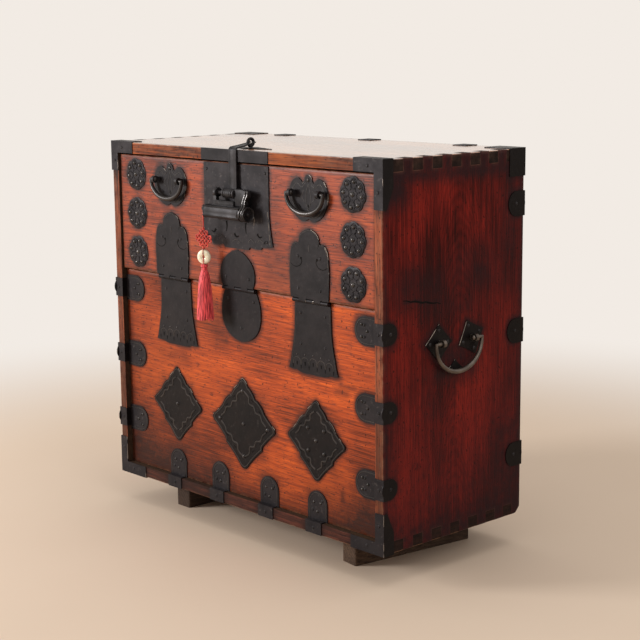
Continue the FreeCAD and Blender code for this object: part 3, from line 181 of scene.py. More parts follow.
@dataclass(frozen=True)
class LacqueredWood:
    """Zelkova, oiled and lacquered by hand: growth rings, fibres, pores and iron stains."""

    name: str
    grain: Grain
    light: str
    middle: str
    dark: str
    stain: str = "#150908"
    worn: str = "#a9755a"
    worm_hole: str = "#1a0b08"
    ring_mm: float = 12.0
    roughness: float = 0.42
    coat: float = 0.04
    coat_roughness: float = 0.3
    specular: float = 0.18
    ior: float = 1.5
    rings: float = 0.16
    cathedral: float = 0.0
    fibres: float = 0.5
    patches: float = 1.0
    uneven: float = 0.8
    recess_shade_and_grime: float = 0.0

    def streaks(self, add: Adder, across: float, along: float, detail: float,
                rough: float) -> bpy.types.Node:
        """Draws noise that is stretched along the fibres.

        Args:
            add: What adds a node.
            across: Cells in a metre across the fibres.
            along: Cells in a metre along them.
            detail: How many finer layers lie on it.
            rough: How strong those are.

        Returns:
            The noise.
        """
        stretch = tuple(across if share == 1 else along for share in self.grain.value)
        return add("TexNoise", inputs={
            "Vector": chest_place(add, stretch), "Scale": 1.0, "Detail": detail, "Roughness": rough})

    def build(self) -> bpy.types.Material:
        """Builds the material.

        Returns:
            The finished material. Its stain and wear follow the mesh's own attributes.
        """
        material, add = start_material(self.name)
        # growth rings: bands across the fibres, bent by a slow wander along them; a diagonal
        # wave of scale 1 repeats every 0.628 m along an axis
        wave_scale = 0.628 / (self.ring_mm * MM)
        bands = add("TexWave", {"wave_type": "BANDS", "bands_direction": "DIAGONAL"}, {
            "Vector": chest_place(add, self.grain.value), "Scale": wave_scale, "Distortion": 9.0,
            "Detail": 4.0, "Detail Scale": 1.3, "Detail Roughness": 0.68})
        # fibres are drawn 2 mm wide, coarser than the real half millimetre, so that they show
        fibres = self.streaks(add, 600, 11, 4.0, 0.6)
        # slow patches of tone, a hand wide
        patches = self.streaks(add, 6.5, 2.6, 4.0, 0.6)
        mixed = 0.5 - (self.rings + self.fibres + self.patches) / 2
        for source, share in ((bands.outputs["Fac"], self.rings), (fibres, self.fibres),
                              (patches, self.patches)):
            mixed = add("Math", TIMES_PLUS, {0: source, 1: share, 2: mixed})
        if self.cathedral:
            mixed = add("Math", {"operation": "ADD"}, {0: mixed, 1: self.arches(add, patches)})
        tone = add("ValToRGB", inputs={"Fac": mixed},
                   stops=((0.2, self.dark), (0.5, self.middle), (0.8, self.light)))
        # pores are short dark dashes along the fibres, and worm holes are round
        pores, holes = (add("MapRange", inputs={"Value": source, "From Min": low, "From Max": high})
                        for source, low, high in ((self.streaks(add, 480, 46, 3.0, 0.6), 0.56, 0.66),
                                                  (self.streaks(add, 170, 170, 1.0, 0.4), 0.68, 0.74)))
        for spots, share, colour in ((pores, 0.85, self.dark), (holes, 0.8, self.worm_hole)):
            tone = add("Mix", COLOUR_MIX, {0: add("Math", TIMES, {0: spots, 1: share}), 6: tone,
                                           7: linear(colour)})
        # iron stains and grime, painted on the mesh and broken up by soft noise
        ragged = self.streaks(add, 60, 60, 4.0, 0.65)
        stain = add("Attribute", {"attribute_name": "stain"}).outputs["Fac"]
        uneven = add("Math", TIMES_PLUS, {0: ragged, 1: self.uneven, 2: 1 - self.uneven / 2})
        broken = add("Math", TIMES | {"use_clamp": True}, {0: stain, 1: uneven})
        if self.recess_shade_and_grime:
            # what lies in front of the fixed panel is darkened: painted shade on the walls of the recess and
            # grime on the ledge
            where = add("SeparateXYZ", inputs={"Vector": chest_place(add)})
            outer = add("MapRange", inputs={
                "Value": where.outputs["Y"], "From Min": (PANEL_Y + 1.15) * MM,
                "From Max": (PANEL_Y + 8.15) * MM, "To Min": self.recess_shade_and_grime, "To Max": 0.0})
            broken = add("Math", {"operation": "MAXIMUM"}, {0: broken, 1: outer})
        # rubbed arrises show paler wood
        wear = add("Attribute", {"attribute_name": "wear"}).outputs["Fac"]
        rub = add("Math", TIMES_PLUS | {"use_clamp": True}, {0: ragged, 1: 3.2, 2: -1.15})
        for first, second, colour in ((broken, 0.96, self.stain), (wear, rub, self.worn)):
            tone = add("Mix", COLOUR_MIX, {0: add("Math", TIMES, {0: first, 1: second}), 6: tone,
                                           7: linear(colour)})
        height = add("Math", {"operation": "SUBTRACT"}, {0: fibres, 1: pores})
        gloss = add("MapRange", inputs={
            "Value": patches, "From Min": 0.3, "From Max": 0.7,
            "To Min": self.roughness - 0.07, "To Max": self.roughness + 0.1})
        shader = add("BsdfPrincipled", inputs={
            "Base Color": tone, "Roughness": gloss, "IOR": self.ior, "Specular IOR Level": self.specular,
            "Coat Weight": self.coat, "Coat Roughness": self.coat_roughness,
            "Normal": add("Bump", inputs={"Height": height, "Strength": 0.3, "Distance": 0.5 * MM})})
        add("OutputMaterial", inputs={"Surface": shader})
        return material

    def arches(self, add: Adder, wander: bpy.types.Node) -> bpy.types.Node:
        """Draws the tall pointed arches of a flat-sawn board, about 22 mm apart at its middle.

        Args:
            add: What adds a node.
            wander: A slow value that bends the lines.

        Returns:
            A value that swings round zero.
        """
        where = add("SeparateXYZ", inputs={"Vector": chest_place(add)})
        bent = add("Math", TIMES_PLUS, {0: wander, 1: 0.09, 2: where.outputs["Y"]})
        aside = add("Math", {"operation": "SUBTRACT"}, {0: bent, 1: 0.06})
        square = add("Math", TIMES, {0: aside, 1: aside})
        rise = add("Math", TIMES_PLUS, {0: square, 1: 40.0, 2: where.outputs["Z"]})
        turns = add("Math", TIMES, {0: rise, 1: 2 * math.pi / (22 * MM)})
        swing = add("Math", {"operation": "SINE"}, {0: turns})
        return add("Math", TIMES, {0: swing, 1: self.cathedral / 2})


@dataclass(frozen=True)
class ForgedIron:
    """Hammered sheet iron, blackened over a fire and rubbed with oil."""

    name: str
    light: str
    dark: str
    rust: str = "#3a261c"
    scratch: str = "#6f6764"
    # the colour of the painted shade on faces that look sideways
    black: str = "#0a0606"
    metallic: float = 0.5
    roughness: float = 0.48
    hammer: float = 0.35
    specular: float = 0.5
    sideways_shade: float = 0.0
    scuffs: float = 0.0

    def build(self) -> bpy.types.Material:
        """Builds the material.

        Returns:
            Matt dark metal with shallow hammer marks about 8 mm wide, faint brown bloom, painted
            shade that darkens what looks sideways, and pale cloudy scuffs.
        """
        material, add = start_material(self.name)
        place = chest_place(add)
        cloud, bloom, rubbed = (
            add("TexNoise", inputs={"Vector": place, "Scale": cells, "Detail": detail, "Roughness": rough})
            for cells, detail, rough in ((30.0, 4.0, 0.55), (210.0, 5.0, 0.7), (130.0, 5.0, 0.72)))
        tone = add("ValToRGB", inputs={"Fac": cloud}, stops=((0.3, self.dark), (0.7, self.light)))
        for source, high, most, colour in ((bloom, 0.75, 0.45, self.rust),
                                           (rubbed, 0.78, self.scuffs, self.scratch)):
            spots = add("MapRange", inputs={
                "Value": source, "From Min": 0.58, "From Max": high, "To Max": most})
            tone = add("Mix", COLOUR_MIX, {0: spots, 6: tone, 7: linear(colour)})
        # painted shade: faces that look along X, as on the sides, are darkened towards black
        split = add("SeparateXYZ", inputs={"Vector": add("TexCoord").outputs["Normal"]})
        sideways = add("Math", {"operation": "ABSOLUTE"}, {0: split.outputs["X"]})
        tone = add("Mix", COLOUR_MIX, {0: add("Math", TIMES, {0: sideways, 1: self.sideways_shade}), 6: tone,
                                       7: linear(self.black)})
        marks = add("TexVoronoi", {"feature": "SMOOTH_F1"}, {
            "Vector": place, "Scale": 120.0, "Smoothness": 1.0})
        height = add("Math", TIMES_PLUS, {0: bloom, 1: 0.3, 2: marks})
        gloss = add("MapRange", inputs={
            "Value": cloud, "From Min": 0.3, "From Max": 0.7,
            "To Min": self.roughness + 0.08, "To Max": self.roughness - 0.06})
        shader = add("BsdfPrincipled", inputs={
            "Base Color": tone, "Roughness": gloss, "Metallic": self.metallic,
            "Specular IOR Level": self.specular,
            "Normal": add("Bump", inputs={"Height": height, "Strength": self.hammer, "Distance": 0.6 * MM})})
        add("OutputMaterial", inputs={"Surface": shader})
        return material


@dataclass(frozen=True)
class Silk:
    """Dyed silk yarn, twisted: a soft sheen, with light strands of painted sheen and dark strands of painted
    shade between the fibres.
    """

    name: str
    light: str
    dark: str
    strand_mm: float

    def build(self) -> bpy.types.Material:
        """Builds the material.

        Returns:
            The finished material, whose strands are 14 times as long as they are wide.
        """
        material, add = start_material(self.name)
        per_metre = 1 / (self.strand_mm * MM)
        strands = add("TexNoise", inputs={
            "Vector": chest_place(add, (per_metre, per_metre, per_metre / 14)), "Scale": 1.0,
            "Detail": 2.0, "Roughness": 0.6})
        # painted light: the light strands are painted sheen, the dark ones painted shade between fibres
        tone = add("ValToRGB", inputs={"Fac": strands}, stops=((0.36, self.dark), (0.62, self.light)))
        shader = add("BsdfPrincipled", inputs={
            "Base Color": tone, "Roughness": 0.6, "Sheen Weight": 0.12, "Sheen Roughness": 0.4,
            "Normal": add("Bump", inputs={"Height": strands, "Strength": 0.4, "Distance": 0.5 * MM})})
        add("OutputMaterial", inputs={"Surface": shader})
        return material


@dataclass(frozen=True)
class PolishedBone:
    """Bone or pale jade, polished: creamy with faint cloudy veins and a soft gloss."""

    name: str
    vein: str = "#cfc2a0"
    cream: str = "#efe6cf"

    def build(self) -> bpy.types.Material:
        """Builds the material.

        Returns:
            The finished material, which lets a little light in under its skin.
        """
        material, add = start_material(self.name)
        clouds = add("TexNoise", inputs={
            "Vector": chest_place(add), "Scale": 160.0, "Detail": 4.0, "Distortion": 0.8})
        tone = add("ValToRGB", inputs={"Fac": clouds}, stops=((0.3, self.vein), (0.6, self.cream)))
        shader = add("BsdfPrincipled", inputs={
            "Base Color": tone, "Roughness": 0.28, "Subsurface Weight": 0.15,
            "Subsurface Radius": (4 * MM, 3 * MM, 2 * MM)})
        add("OutputMaterial", inputs={"Surface": shader})
        return material


@dataclass(frozen=True)
class StudioFloor:
    """Matt pale floor paper that shows the chest's shadow and fades into the wall far away."""

    name: str = "pale_floor_paper"
    colour: str = "#d6c2ae"
    fleck: str = "#c2b1a1"
    wall: str = "#f2ebe4"
    near: float = 0.8
    far: float = 2.1

    def build(self) -> bpy.types.Material:
        """Builds the material.

        Returns:
            Paper close to the chest, and beyond it the wall's own colour for the camera alone.
        """
        material, add = start_material(self.name)
        place = chest_place(add)
        cloud = add("TexNoise", inputs={"Vector": place, "Scale": 3.0, "Detail": 2.0})
        tone = add("Mix", COLOUR_MIX | {"blend_type": "MULTIPLY"}, {
            0: add("Math", TIMES, {0: cloud, 1: 0.1}), 6: linear(self.colour), 7: linear(self.fleck)})
        paper = add("BsdfPrincipled", inputs={
            "Base Color": tone, "Roughness": 0.7, "Specular IOR Level": 0.2})
        distance = add("VectorMath", {"operation": "LENGTH"}, {0: place})
        faded = add("MapRange", {"interpolation_type": "SMOOTHSTEP"}, {
            "Value": distance, "From Min": self.near, "From Max": self.far})
        seen = add("Math", TIMES, {0: faded, 1: add("LightPath").outputs["Is Camera Ray"]})
        glow = add("Emission", inputs={"Color": linear(self.wall), "Strength": 1.0})
        add("OutputMaterial", inputs={"Surface": add("MixShader", inputs={0: seen, 1: paper, 2: glow})})
        return material


class Finishes:
    """Every finish of the chest, built once and shared by the pieces."""

    def __init__(self) -> None:
        """Builds the finishes."""
        across, upright, deep = Grain.ACROSS, Grain.UPRIGHT, Grain.FRONT_TO_BACK
        # zelkova under old lacquer: the front glows orange brown through fine dark fibres
        self.front = LacqueredWood("lacquered_zelkova_flap", across, "#b85327", "#923c1e", "#4e1e0f",
                                   rings=0.1, fibres=1.1, patches=1.3).build()
        self.panel = LacqueredWood("lacquered_zelkova_panel", across, "#dc6120", "#a8441a", "#521f0d",
                                   stain="#1c0d0a", specular=0.13, uneven=0.4, rings=0.1, fibres=1.1,
                                   patches=1.3).build()
        # edges of the case, rubbed nearly free of gloss, and the sill dulled by grime
        self.rail = LacqueredWood("lacquered_zelkova_rail", across, "#d87236", "#994b26", "#411d12",
                                  roughness=0.5, specular=0.08, fibres=1.2, coat=0.0).build()
        self.sill = LacqueredWood("grimy_zelkova_sill", across, "#5a2e22", "#361b15", "#1a0c09",
                                  worn="#5e3a2c", roughness=0.5, specular=0.1, fibres=1.0).build()
        self.stile = LacqueredWood("lacquered_zelkova_stile", upright, "#c66d42", "#944a2d", "#421f14",
                                   roughness=0.5, specular=0.1, fibres=1.0).build()
        # the sides are wine red, with the arches of flat-sawn wood; their end grain soaks up dirt
        self.side = LacqueredWood("lacquered_zelkova_side", upright, "#96281d", "#681a15", "#300c0a",
                                  stain="#27171a", worn="#6b4a3e", ring_mm=26, specular=0.04,
                                  rings=0.06, cathedral=0.09, fibres=1.1, patches=1.6).build()
        self.end = LacqueredWood("dark_end_grain", deep, "#2a1712", "#190e0c", "#0c0706",
                                 worn="#6b5348", roughness=0.6, coat=0.0, specular=0.08).build()
        # the top keeps its whole lacquer and mirrors the room like glass
        self.top = LacqueredWood("lacquered_zelkova_top", across, "#d3a585", "#99684b", "#472617",
                                 roughness=0.3, coat=1.0, coat_roughness=0.14, specular=0.5, ior=1.8,
                                 rings=0.25, fibres=1.0, patches=1.3).build()
        # bare pine and oak: dry, grey brown and without any gloss
        self.inside = LacqueredWood("bare_pine_inside", across, "#8a6a48", "#6b4e35", "#3d2a1d",
                                    roughness=0.62, coat=0.0, ring_mm=24, recess_shade_and_grime=0.85).build()
        self.back = LacqueredWood("bare_pine_back", across, "#7d5a3e", "#62432e", "#40291b",
                                  roughness=0.62, coat=0.0, ring_mm=24).build()
        self.runner = LacqueredWood("weathered_oak_runner", deep, "#5d4838", "#3f2f25", "#241a14",
                                    roughness=0.7, coat=0.0, ring_mm=10).build()
        # sheet iron: nearly black, scuffed grey where hands pass, and darkened with painted shade on faces
        # that look sideways
        self.plate = ForgedIron("blackened_sheet_iron", "#201c1e", "#131012", "#24140f", metallic=0.3,
                                specular=0.15, sideways_shade=0.8, scuffs=0.15).build()
        self.worn_plate = ForgedIron("scuffed_sheet_iron", "#282426", "#181518", "#2a1812", metallic=0.3,
                                     specular=0.15, sideways_shade=0.85, scuffs=0.5).build()
        self.dark_plate = ForgedIron("sooty_sheet_iron", "#151011", "#090607", "#1f100b", metallic=0.3,
                                     roughness=0.4, specular=0.14, sideways_shade=0.7, scuffs=0.25).build()
        # forged fittings: oiled and faintly brown, brighter the more they are handled
        self.fitting = ForgedIron("oiled_forged_iron", "#2f2c2e", "#181617", "#2a1a14", roughness=0.52,
                                  metallic=0.45, hammer=0.3, specular=0.28, scuffs=0.25).build()
        self.polished = ForgedIron("rubbed_forged_iron", "#786e66", "#3c3632", roughness=0.34,
                                   metallic=0.85, hammer=0.25).build()
        # painted highlight: this pale iron lies only on arrises that face one chosen way
        self.bright = ForgedIron("rubbed_iron_painted_highlight", "#a89d94", "#6a615b", roughness=0.32,
                                 metallic=0.8, hammer=0.2).build()
        self.chased = ForgedIron("chased_iron_line", "#3a3533", "#1c1918", roughness=0.33,
                                 hammer=0.2).build()
        self.stud = ForgedIron("rubbed_iron_stud", "#54504e", "#262323", roughness=0.24, metallic=0.6,
                               hammer=0.2).build()
        # painted shade: a near-black sheet laid over a pierced hole or the crack stands in for the shade
        # inside it
        self.hole_shade = ForgedIron("painted_shade_in_holes", "#0d0a09", "#070505", metallic=0.0, specular=0.1,
                              roughness=0.85).build()
        # silk: strands are drawn 2 mm wide, twice the real width, so that they show
        self.cord = Silk("red_silk_cord", "#f0503f", "#6a0f10", strand_mm=1.6).build()
        self.fringe = Silk("red_silk_fringe", "#f8585c", "#8e0e1b", strand_mm=2.2).build()
        self.bead = PolishedBone("polished_pale_jade").build()


# ----------------------------------------------------------------- building meshes
def make_piece(name: str, mesh_mm: bmesh.types.BMesh, body: str, material: bpy.types.Material,
               replaced: Sequence[str] = (), smooth: bool = True) -> bpy.types.Object:
    """Turns a mesh in millimetres into a piece in metres that rides on a body.

    Args:
        name: The piece's name.
        mesh_mm: The mesh, which is used up.
        body: The body that carries the piece.
        material: Its first finish.
        replaced: The nodes that it stands for.
        smooth: Whether its faces are shaded smooth.

    Returns:
        The new object.
    """
    for vertex in mesh_mm.verts:
        vertex.co *= MM
    for face in mesh_mm.faces:
        face.smooth = smooth
    mesh = bpy.data.meshes.new(name)
    mesh_mm.to_mesh(mesh)
    mesh_mm.free()
    mesh.set_sharp_from_angle(angle=0.7)
    piece = bpy.data.objects.new(name, mesh)
    bpy.context.scene.collection.objects.link(piece)
    piece.data.materials.append(material)
    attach(piece, body)
    if replaced:
        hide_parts(*replaced)
    LOG.info("%s: %d faces on %s", name, len(mesh.polygons), body)
    return piece


def bevelled(node: bpy.types.Object, width_mm: float, material: bpy.types.Material) -> None:
    """Gives a carried-over node its finish and a small worn arris.

    Args:
        node: The node's object.
        width_mm: The width of the rounded edge.
        material: Its finish.
    """
    node.data.materials.clear()
    node.data.materials.append(material)
    edge = node.modifiers.new("worn_arris", "BEVEL")
    edge.width = width_mm * MM
    edge.segments = 2
    edge.limit_method = "ANGLE"
    edge.angle_limit = math.radians(32)
    edge.harden_normals = True
    LOG.info("%s: carried over in %s", node.name, material.name)


def circle(centre: Vector, across: Vector, up: Vector, radius: float, sides: int) -> list[Vector]:
    """Places points round a circle.

    Args:
        centre: Its middle.
        across: The direction of its first point.
        up: The direction of the point a quarter turn on.
        radius: Its radius where both directions are one long.
        sides: How many points it has.

    Returns:
        The points, in order.
    """
    turns = [2 * math.pi * step / sides for step in range(sides)]
    return [centre + (across * math.cos(turn) + up * math.sin(turn)) * radius for turn in turns]


def skin(mesh: bmesh.types.BMesh, loops: Sequence[Sequence[Vector]], joined: bool = False,
         first_cap: bool = False, last_cap: bool = False, crown: Vector | None = None) -> None:
    """Covers a row of closed loops of points with four-sided faces.

    Args:
        mesh: The mesh that gets the faces.
        loops: Loops of as many points each, in order.
        joined: Whether the last loop meets the first.
        first_cap: Whether a face closes the first loop.
        last_cap: Whether a face closes the last loop.
        crown: A point that the last loop runs up to.
    """
    rows = [[mesh.verts.new(point) for point in loop] for loop in loops]
    for one, two in zip(rows, rows[1:] + (rows[:1] if joined else [])):
        for index in range(len(one)):
            after = (index + 1) % len(one)
            mesh.faces.new((one[index], one[after], two[after], two[index]))
    if first_cap:
        mesh.faces.new(rows[0][::-1])
    if last_cap:
        mesh.faces.new(rows[-1])
    if crown is not None:
        top, last = mesh.verts.new(crown), rows[-1]
        for index, vertex in enumerate(last):
            mesh.faces.new((vertex, last[(index + 1) % len(last)], top))


def turned(mesh: bmesh.types.BMesh, profile: Sequence[Flat], origin: Vector, axis: Vector,
           across: Vector, sides: int = 32, hollow: bool = True) -> None:
    """Turns a profile about an axis.

    Args:
        mesh: The mesh that gets the form.
        profile: Its points, as places along the axis and radii.
        origin: The place on the axis from which the profile is measured.
        axis: The direction of the axis.
        across: A direction across it.
        sides: Corners round the axis.
        hollow: Whether the profile returns to its start; if not, its two ends are capped.
    """
    loops = [circle(origin + axis * along, across, axis.cross(across), radius, sides)
             for along, radius in profile]
    skin(mesh, loops, joined=hollow, first_cap=not hollow, last_cap=not hollow)


def dome(mesh: bmesh.types.BMesh, foot: Vector, out: Vector, radius: float, tall: float,
         sides: int = 12, rings: int = 4) -> None:
    """Adds a domed boss that stands on a surface.

    Args:
        mesh: The mesh that gets the boss.
        foot: The middle of its foot.
        out: The direction that it stands in.
        radius: Its radius.
        tall: Its height.
        sides: Corners of its foot.
        rings: Rings up to its crown.
    """
    across = out.orthogonal().normalized()
    lifts = [math.pi / 2 * step / rings for step in range(rings)]
    skin(mesh, [circle(foot + out * tall * math.sin(lift), across, out.cross(across),
                       radius * math.cos(lift), sides) for lift in lifts], crown=foot + out * tall)


def smooth_path(points: Sequence[Sequence[float]], closed: bool, steps: int = 6) -> list[Vector]:
    """Runs a smooth line through points; a point with a last entry of 1 stays a corner.

    Args:
        points: (across, up) or (across, up, 1) for a corner.
        closed: Whether the line returns to its start.
        steps: How many pieces each stretch is divided into.

    Returns:
        The line's points, flat, with a third coordinate of zero.
    """
    flat = [Vector((point[0], point[1], 0)) for point in points]
    corner = [len(point) > 2 for point in points]
    count = len(flat)
    line: list[Vector] = []
    for index in range(count if closed else count - 1):
        after = (index + 1) % count
        start, stop = flat[index], flat[after]
        before = start if corner[index] or (not closed and index == 0) else flat[index - 1]
        beyond = stop if corner[after] or (not closed and after == count - 1) else flat[(after + 1) % count]
        for step in range(steps):
            t = step / steps
            line.append(0.5 * (2 * start + (stop - before) * t
                               + (2 * before - 5 * start + 4 * stop - beyond) * t ** 2
                               + (3 * start - before - 3 * stop + beyond) * t ** 3))
    if not closed:
        line.append(flat[-1])
    return line


def sweep(mesh: bmesh.types.BMesh, path: Sequence[Vector], radii: float | Sequence[float],
          sides: int = 8, closed: bool = False, flatten: float = 1.0, normal: Vector | None = None) -> None:
    """Sweeps a round section along a path.

    Args:
        mesh: The mesh that gets the tube.
        path: The points of its centre line.
        radii: Its radius, or the radius at each point.
        sides: Corners of the section.
        closed: Whether the tube joins its own start.
        flatten: How deep the section is, as a share of its width, along the normal.
        normal: A direction across the path that the section keeps to.
    """
    count = len(path)
    radii = radii if isinstance(radii, Sequence) else [radii] * count
    side = normal or REAR
    loops = []
    for index in range(count):
        ahead = path[(index + 1) % count] if closed or index < count - 1 else path[index]
        behind = path[index - 1] if closed or index > 0 else path[index]
        along = (ahead - behind).normalized()
        if normal is None:
            side = side - along * side.dot(along)
            if side.length < 1e-4:
                side = along.orthogonal()
            side.normalize()
        across = along.cross(side).normalized()
        deep = across.cross(along).normalized()
        loops.append(circle(path[index], across, deep * flatten, radii[index], sides))
    skin(mesh, loops, joined=closed, first_cap=not closed, last_cap=not closed)


# ------------------------------------------------------------------------ the case
@dataclass(frozen=True)
class Blot:
    """A dark patch on a board: a rectangle with a soft rim."""

    across: float
    up: float
    half_wide: float
    half_tall: float
    reach: float = 16.0
    depth: float = 0.8

    def weight(self, across: np.ndarray, up: np.ndarray) -> np.ndarray:
        """Gives how dark the patch is at each point.

        Args:
            across: The points' first coordinates.
            up: The points' second coordinates.

        Returns:
            Values from 0 to the patch's depth.
        """
        over_x = np.maximum(np.abs(across - self.across) - self.half_wide, 0)
        over_y = np.maximum(np.abs(up - self.up) - self.half_tall, 0)
        away = np.sqrt(over_x ** 2 + over_y ** 2)
        return self.depth * np.clip(1 - away / self.reach, 0, 1) ** 1.4


@dataclass
class GriddedBoard:
    """A board whose show face is a fine grid, so that stains and wear can follow its ironwork.

    The show face lies along two axes (u, v) from a corner, and inward points into the wood. A
    notch is a left, a right, a low and a high edge, and shade adds a slow tone of stain.
    """

    name: str
    node: str
    body: str
    corner: Point
    u_axis: Vector
    v_axis: Vector
    inward: Vector
    size: Flat
    thick: float
    blots: Sequence[Blot] = ()
    notches: Sequence[tuple[float, float, float, float]] = ()
    step: float = 5.0
    rounding: float = 1.6
    shade: Callable[[np.ndarray, np.ndarray], np.ndarray] | None = None
    worn_corner: float = 0.0
    worn: float = 1.0
    foot_worn: float = 1.0
    iron: BVHTree | None = None
    halo: float = 11.0

    def lines(self, length: float, marks: Sequence[float]) -> list[float]:
        """Gives the grid lines along one axis, through every notch edge.

        Args:
            length: The board's length along the axis.
            marks: Where the notches' edges lie.

        Returns:
            The places of the lines, in order.
        """
        fixed = {0.0, self.rounding * 0.4, self.rounding * 1.2, length - self.rounding * 1.2,
                 length - self.rounding * 0.4, length}
        for mark in marks:
            fixed |= {value for value in (mark - 1.5, mark, mark + 1.5) if 0 < value < length}
        ordered = sorted(fixed)
        found: list[float] = []
        for low, high in zip(ordered, ordered[1:]):
            parts = max(1, round((high - low) / self.step))
            found += [low + (high - low) * part / parts for part in range(parts)]
        return found + [length]

    def build(self, face: bpy.types.Material, rim: bpy.types.Material, end: bpy.types.Material,
              rear: bpy.types.Material) -> None:
        """Builds the board and paints its stains and wear.

        Args:
            face: Finish of the show face.
            rim: Finish of the edges that look to the front.
            end: Finish of the board's other edges.
            rear: Finish of what looks away from the show face.
        """
        wide, tall = self.size
        us = self.lines(wide, [edge for notch in self.notches for edge in notch[:2]])
        vs = self.lines(tall, [edge for notch in self.notches for edge in notch[2:]])
        origin = Vector(self.corner)
        mesh = bmesh.new()
        grid: dict[tuple[int, int], bmesh.types.BMVert] = {}

        def vertex(i: int, j: int) -> bmesh.types.BMVert:
            """Finds or makes the grid's vertex, pushed in along the board's outer edge.

            Args:
                i: Its line along the first axis.
                j: Its line along the second axis.

            Returns:
                The vertex.
            """
            if (i, j) not in grid:
                u, v = us[i], vs[j]
                rim_away = min(u, v, wide - u, tall - v)
                sink = self.rounding * max(0.0, 1 - rim_away / (self.rounding * 1.2)) ** 2
                over = max(0.0, self.worn_corner - (wide - u) - v) / 2
                grid[i, j] = mesh.verts.new(origin + self.u_axis * (u - over) + self.v_axis * (v + over)
                                            + self.inward * sink)
            return grid[i, j]

        for i in range(len(us) - 1):
            for j in range(len(vs) - 1):
                u, v = (us[i] + us[i + 1]) / 2, (vs[j] + vs[j + 1]) / 2
                if not any(a < u < b and c < v < d for a, b, c, d in self.notches):
                    mesh.faces.new((vertex(i, j), vertex(i + 1, j), vertex(i + 1, j + 1), vertex(i, j + 1)))
        open_edges = [edge for edge in mesh.edges if edge.is_boundary]
        for depth in (self.rounding + 1.5, self.thick - 1.8, self.thick):
            walls = bmesh.ops.extrude_edge_only(mesh, edges=open_edges)["geom"]
            for item in walls:
                if isinstance(item, bmesh.types.BMVert):
                    item.co += self.inward * (depth - (item.co - origin).dot(self.inward))
            open_edges = [item for item in walls if isinstance(item, bmesh.types.BMEdge) and item.is_boundary]
        bmesh.ops.holes_fill(mesh, edges=open_edges, sides=0)
        bmesh.ops.recalc_face_normals(mesh, faces=mesh.faces)
        piece = make_piece(self.name, mesh, self.body, face, (self.node,), smooth=False)
        for material in (rim, end, rear):
            piece.data.materials.append(material)
        for polygon in piece.data.polygons:
            outward = -polygon.normal.dot(self.inward)
            if outward < -0.7:
                polygon.material_index = 3
            elif outward < 0.3:
                polygon.material_index = 1 if polygon.normal.y < -0.7 else 2
        self.paint(piece.data)

    def paint(self, mesh: bpy.types.Mesh) -> None:
        """Writes how stained and how worn each vertex is.

        Args:
            mesh: The board's mesh.
        """
        places = np.empty(len(mesh.vertices) * 3)
        mesh.vertices.foreach_get("co", places)
        places = places.reshape(-1, 3) / MM - np.array(self.corner)
        across, up, depth = (places @ np.array(axis) for axis in (self.u_axis, self.v_axis, self.inward))
        stain = np.zeros(len(across))
        for blot in self.blots:
            stain = np.maximum(stain, blot.weight(across, up))
        if self.shade:
            stain = 1 - (1 - stain) * (1 - np.clip(self.shade(across, up), 0, 1))
        if self.iron:
            for index in np.nonzero(depth < self.rounding * 2)[0]:
                place = mesh.vertices[index].co
                near = self.iron.find_nearest(place, self.halo * 2 * MM)
                if near[0] is not None:
                    reach = self.halo * (1 + 0.8 * noise.noise(place * 22))
                    share = max(0.0, 1 - near[3] / MM / max(reach, 2))
                    stain[index] = max(stain[index], 0.97 * share ** 0.9)
        stain = np.where(depth > self.thick - 1, 0.08, stain)
        away = np.minimum.reduce([across, up, self.size[0] - across, self.size[1] - up])
        for left, right, low, high in self.notches:
            outside = np.maximum.reduce([left - across, across - right, low - up, up - high])
            away = np.minimum(away, np.abs(outside) * 1.6)
        arris = np.minimum(depth - self.rounding, self.thick - depth)
        wear = self.worn * np.exp(-np.maximum(away, 0) / 1.4) * np.clip(1 - arris / 2, 0.1, 1)
        wear *= self.foot_worn + (1 - self.foot_worn) * np.clip(up / 150, 0, 1)
        wear = np.where(depth > self.thick - 0.5, 0.0, wear)
        for label, values in (("stain", stain), ("wear", wear)):
            attribute = mesh.attributes.new(label, "FLOAT", "POINT")
            attribute.data.foreach_set("value", values.astype(np.float32))


PLATES = tuple(f"{label}_{plate}" for _, label in SIDES for plate in (
    "hinge_upper_leaf", "hinge_lower_leaf", "diamond", "handle_plate", "side_plates", "front_straps",
    "rear_straps", "top_corner_iron", "foot_corner_iron", "rear_corner_iron")) + (
    "middle_hinge_upper_leaf", "middle_hinge_lower_leaf", "middle_diamond", "lock_plate",
    "top_rail_plate", "foot_straps", "top_straps", "cotter_leaf")


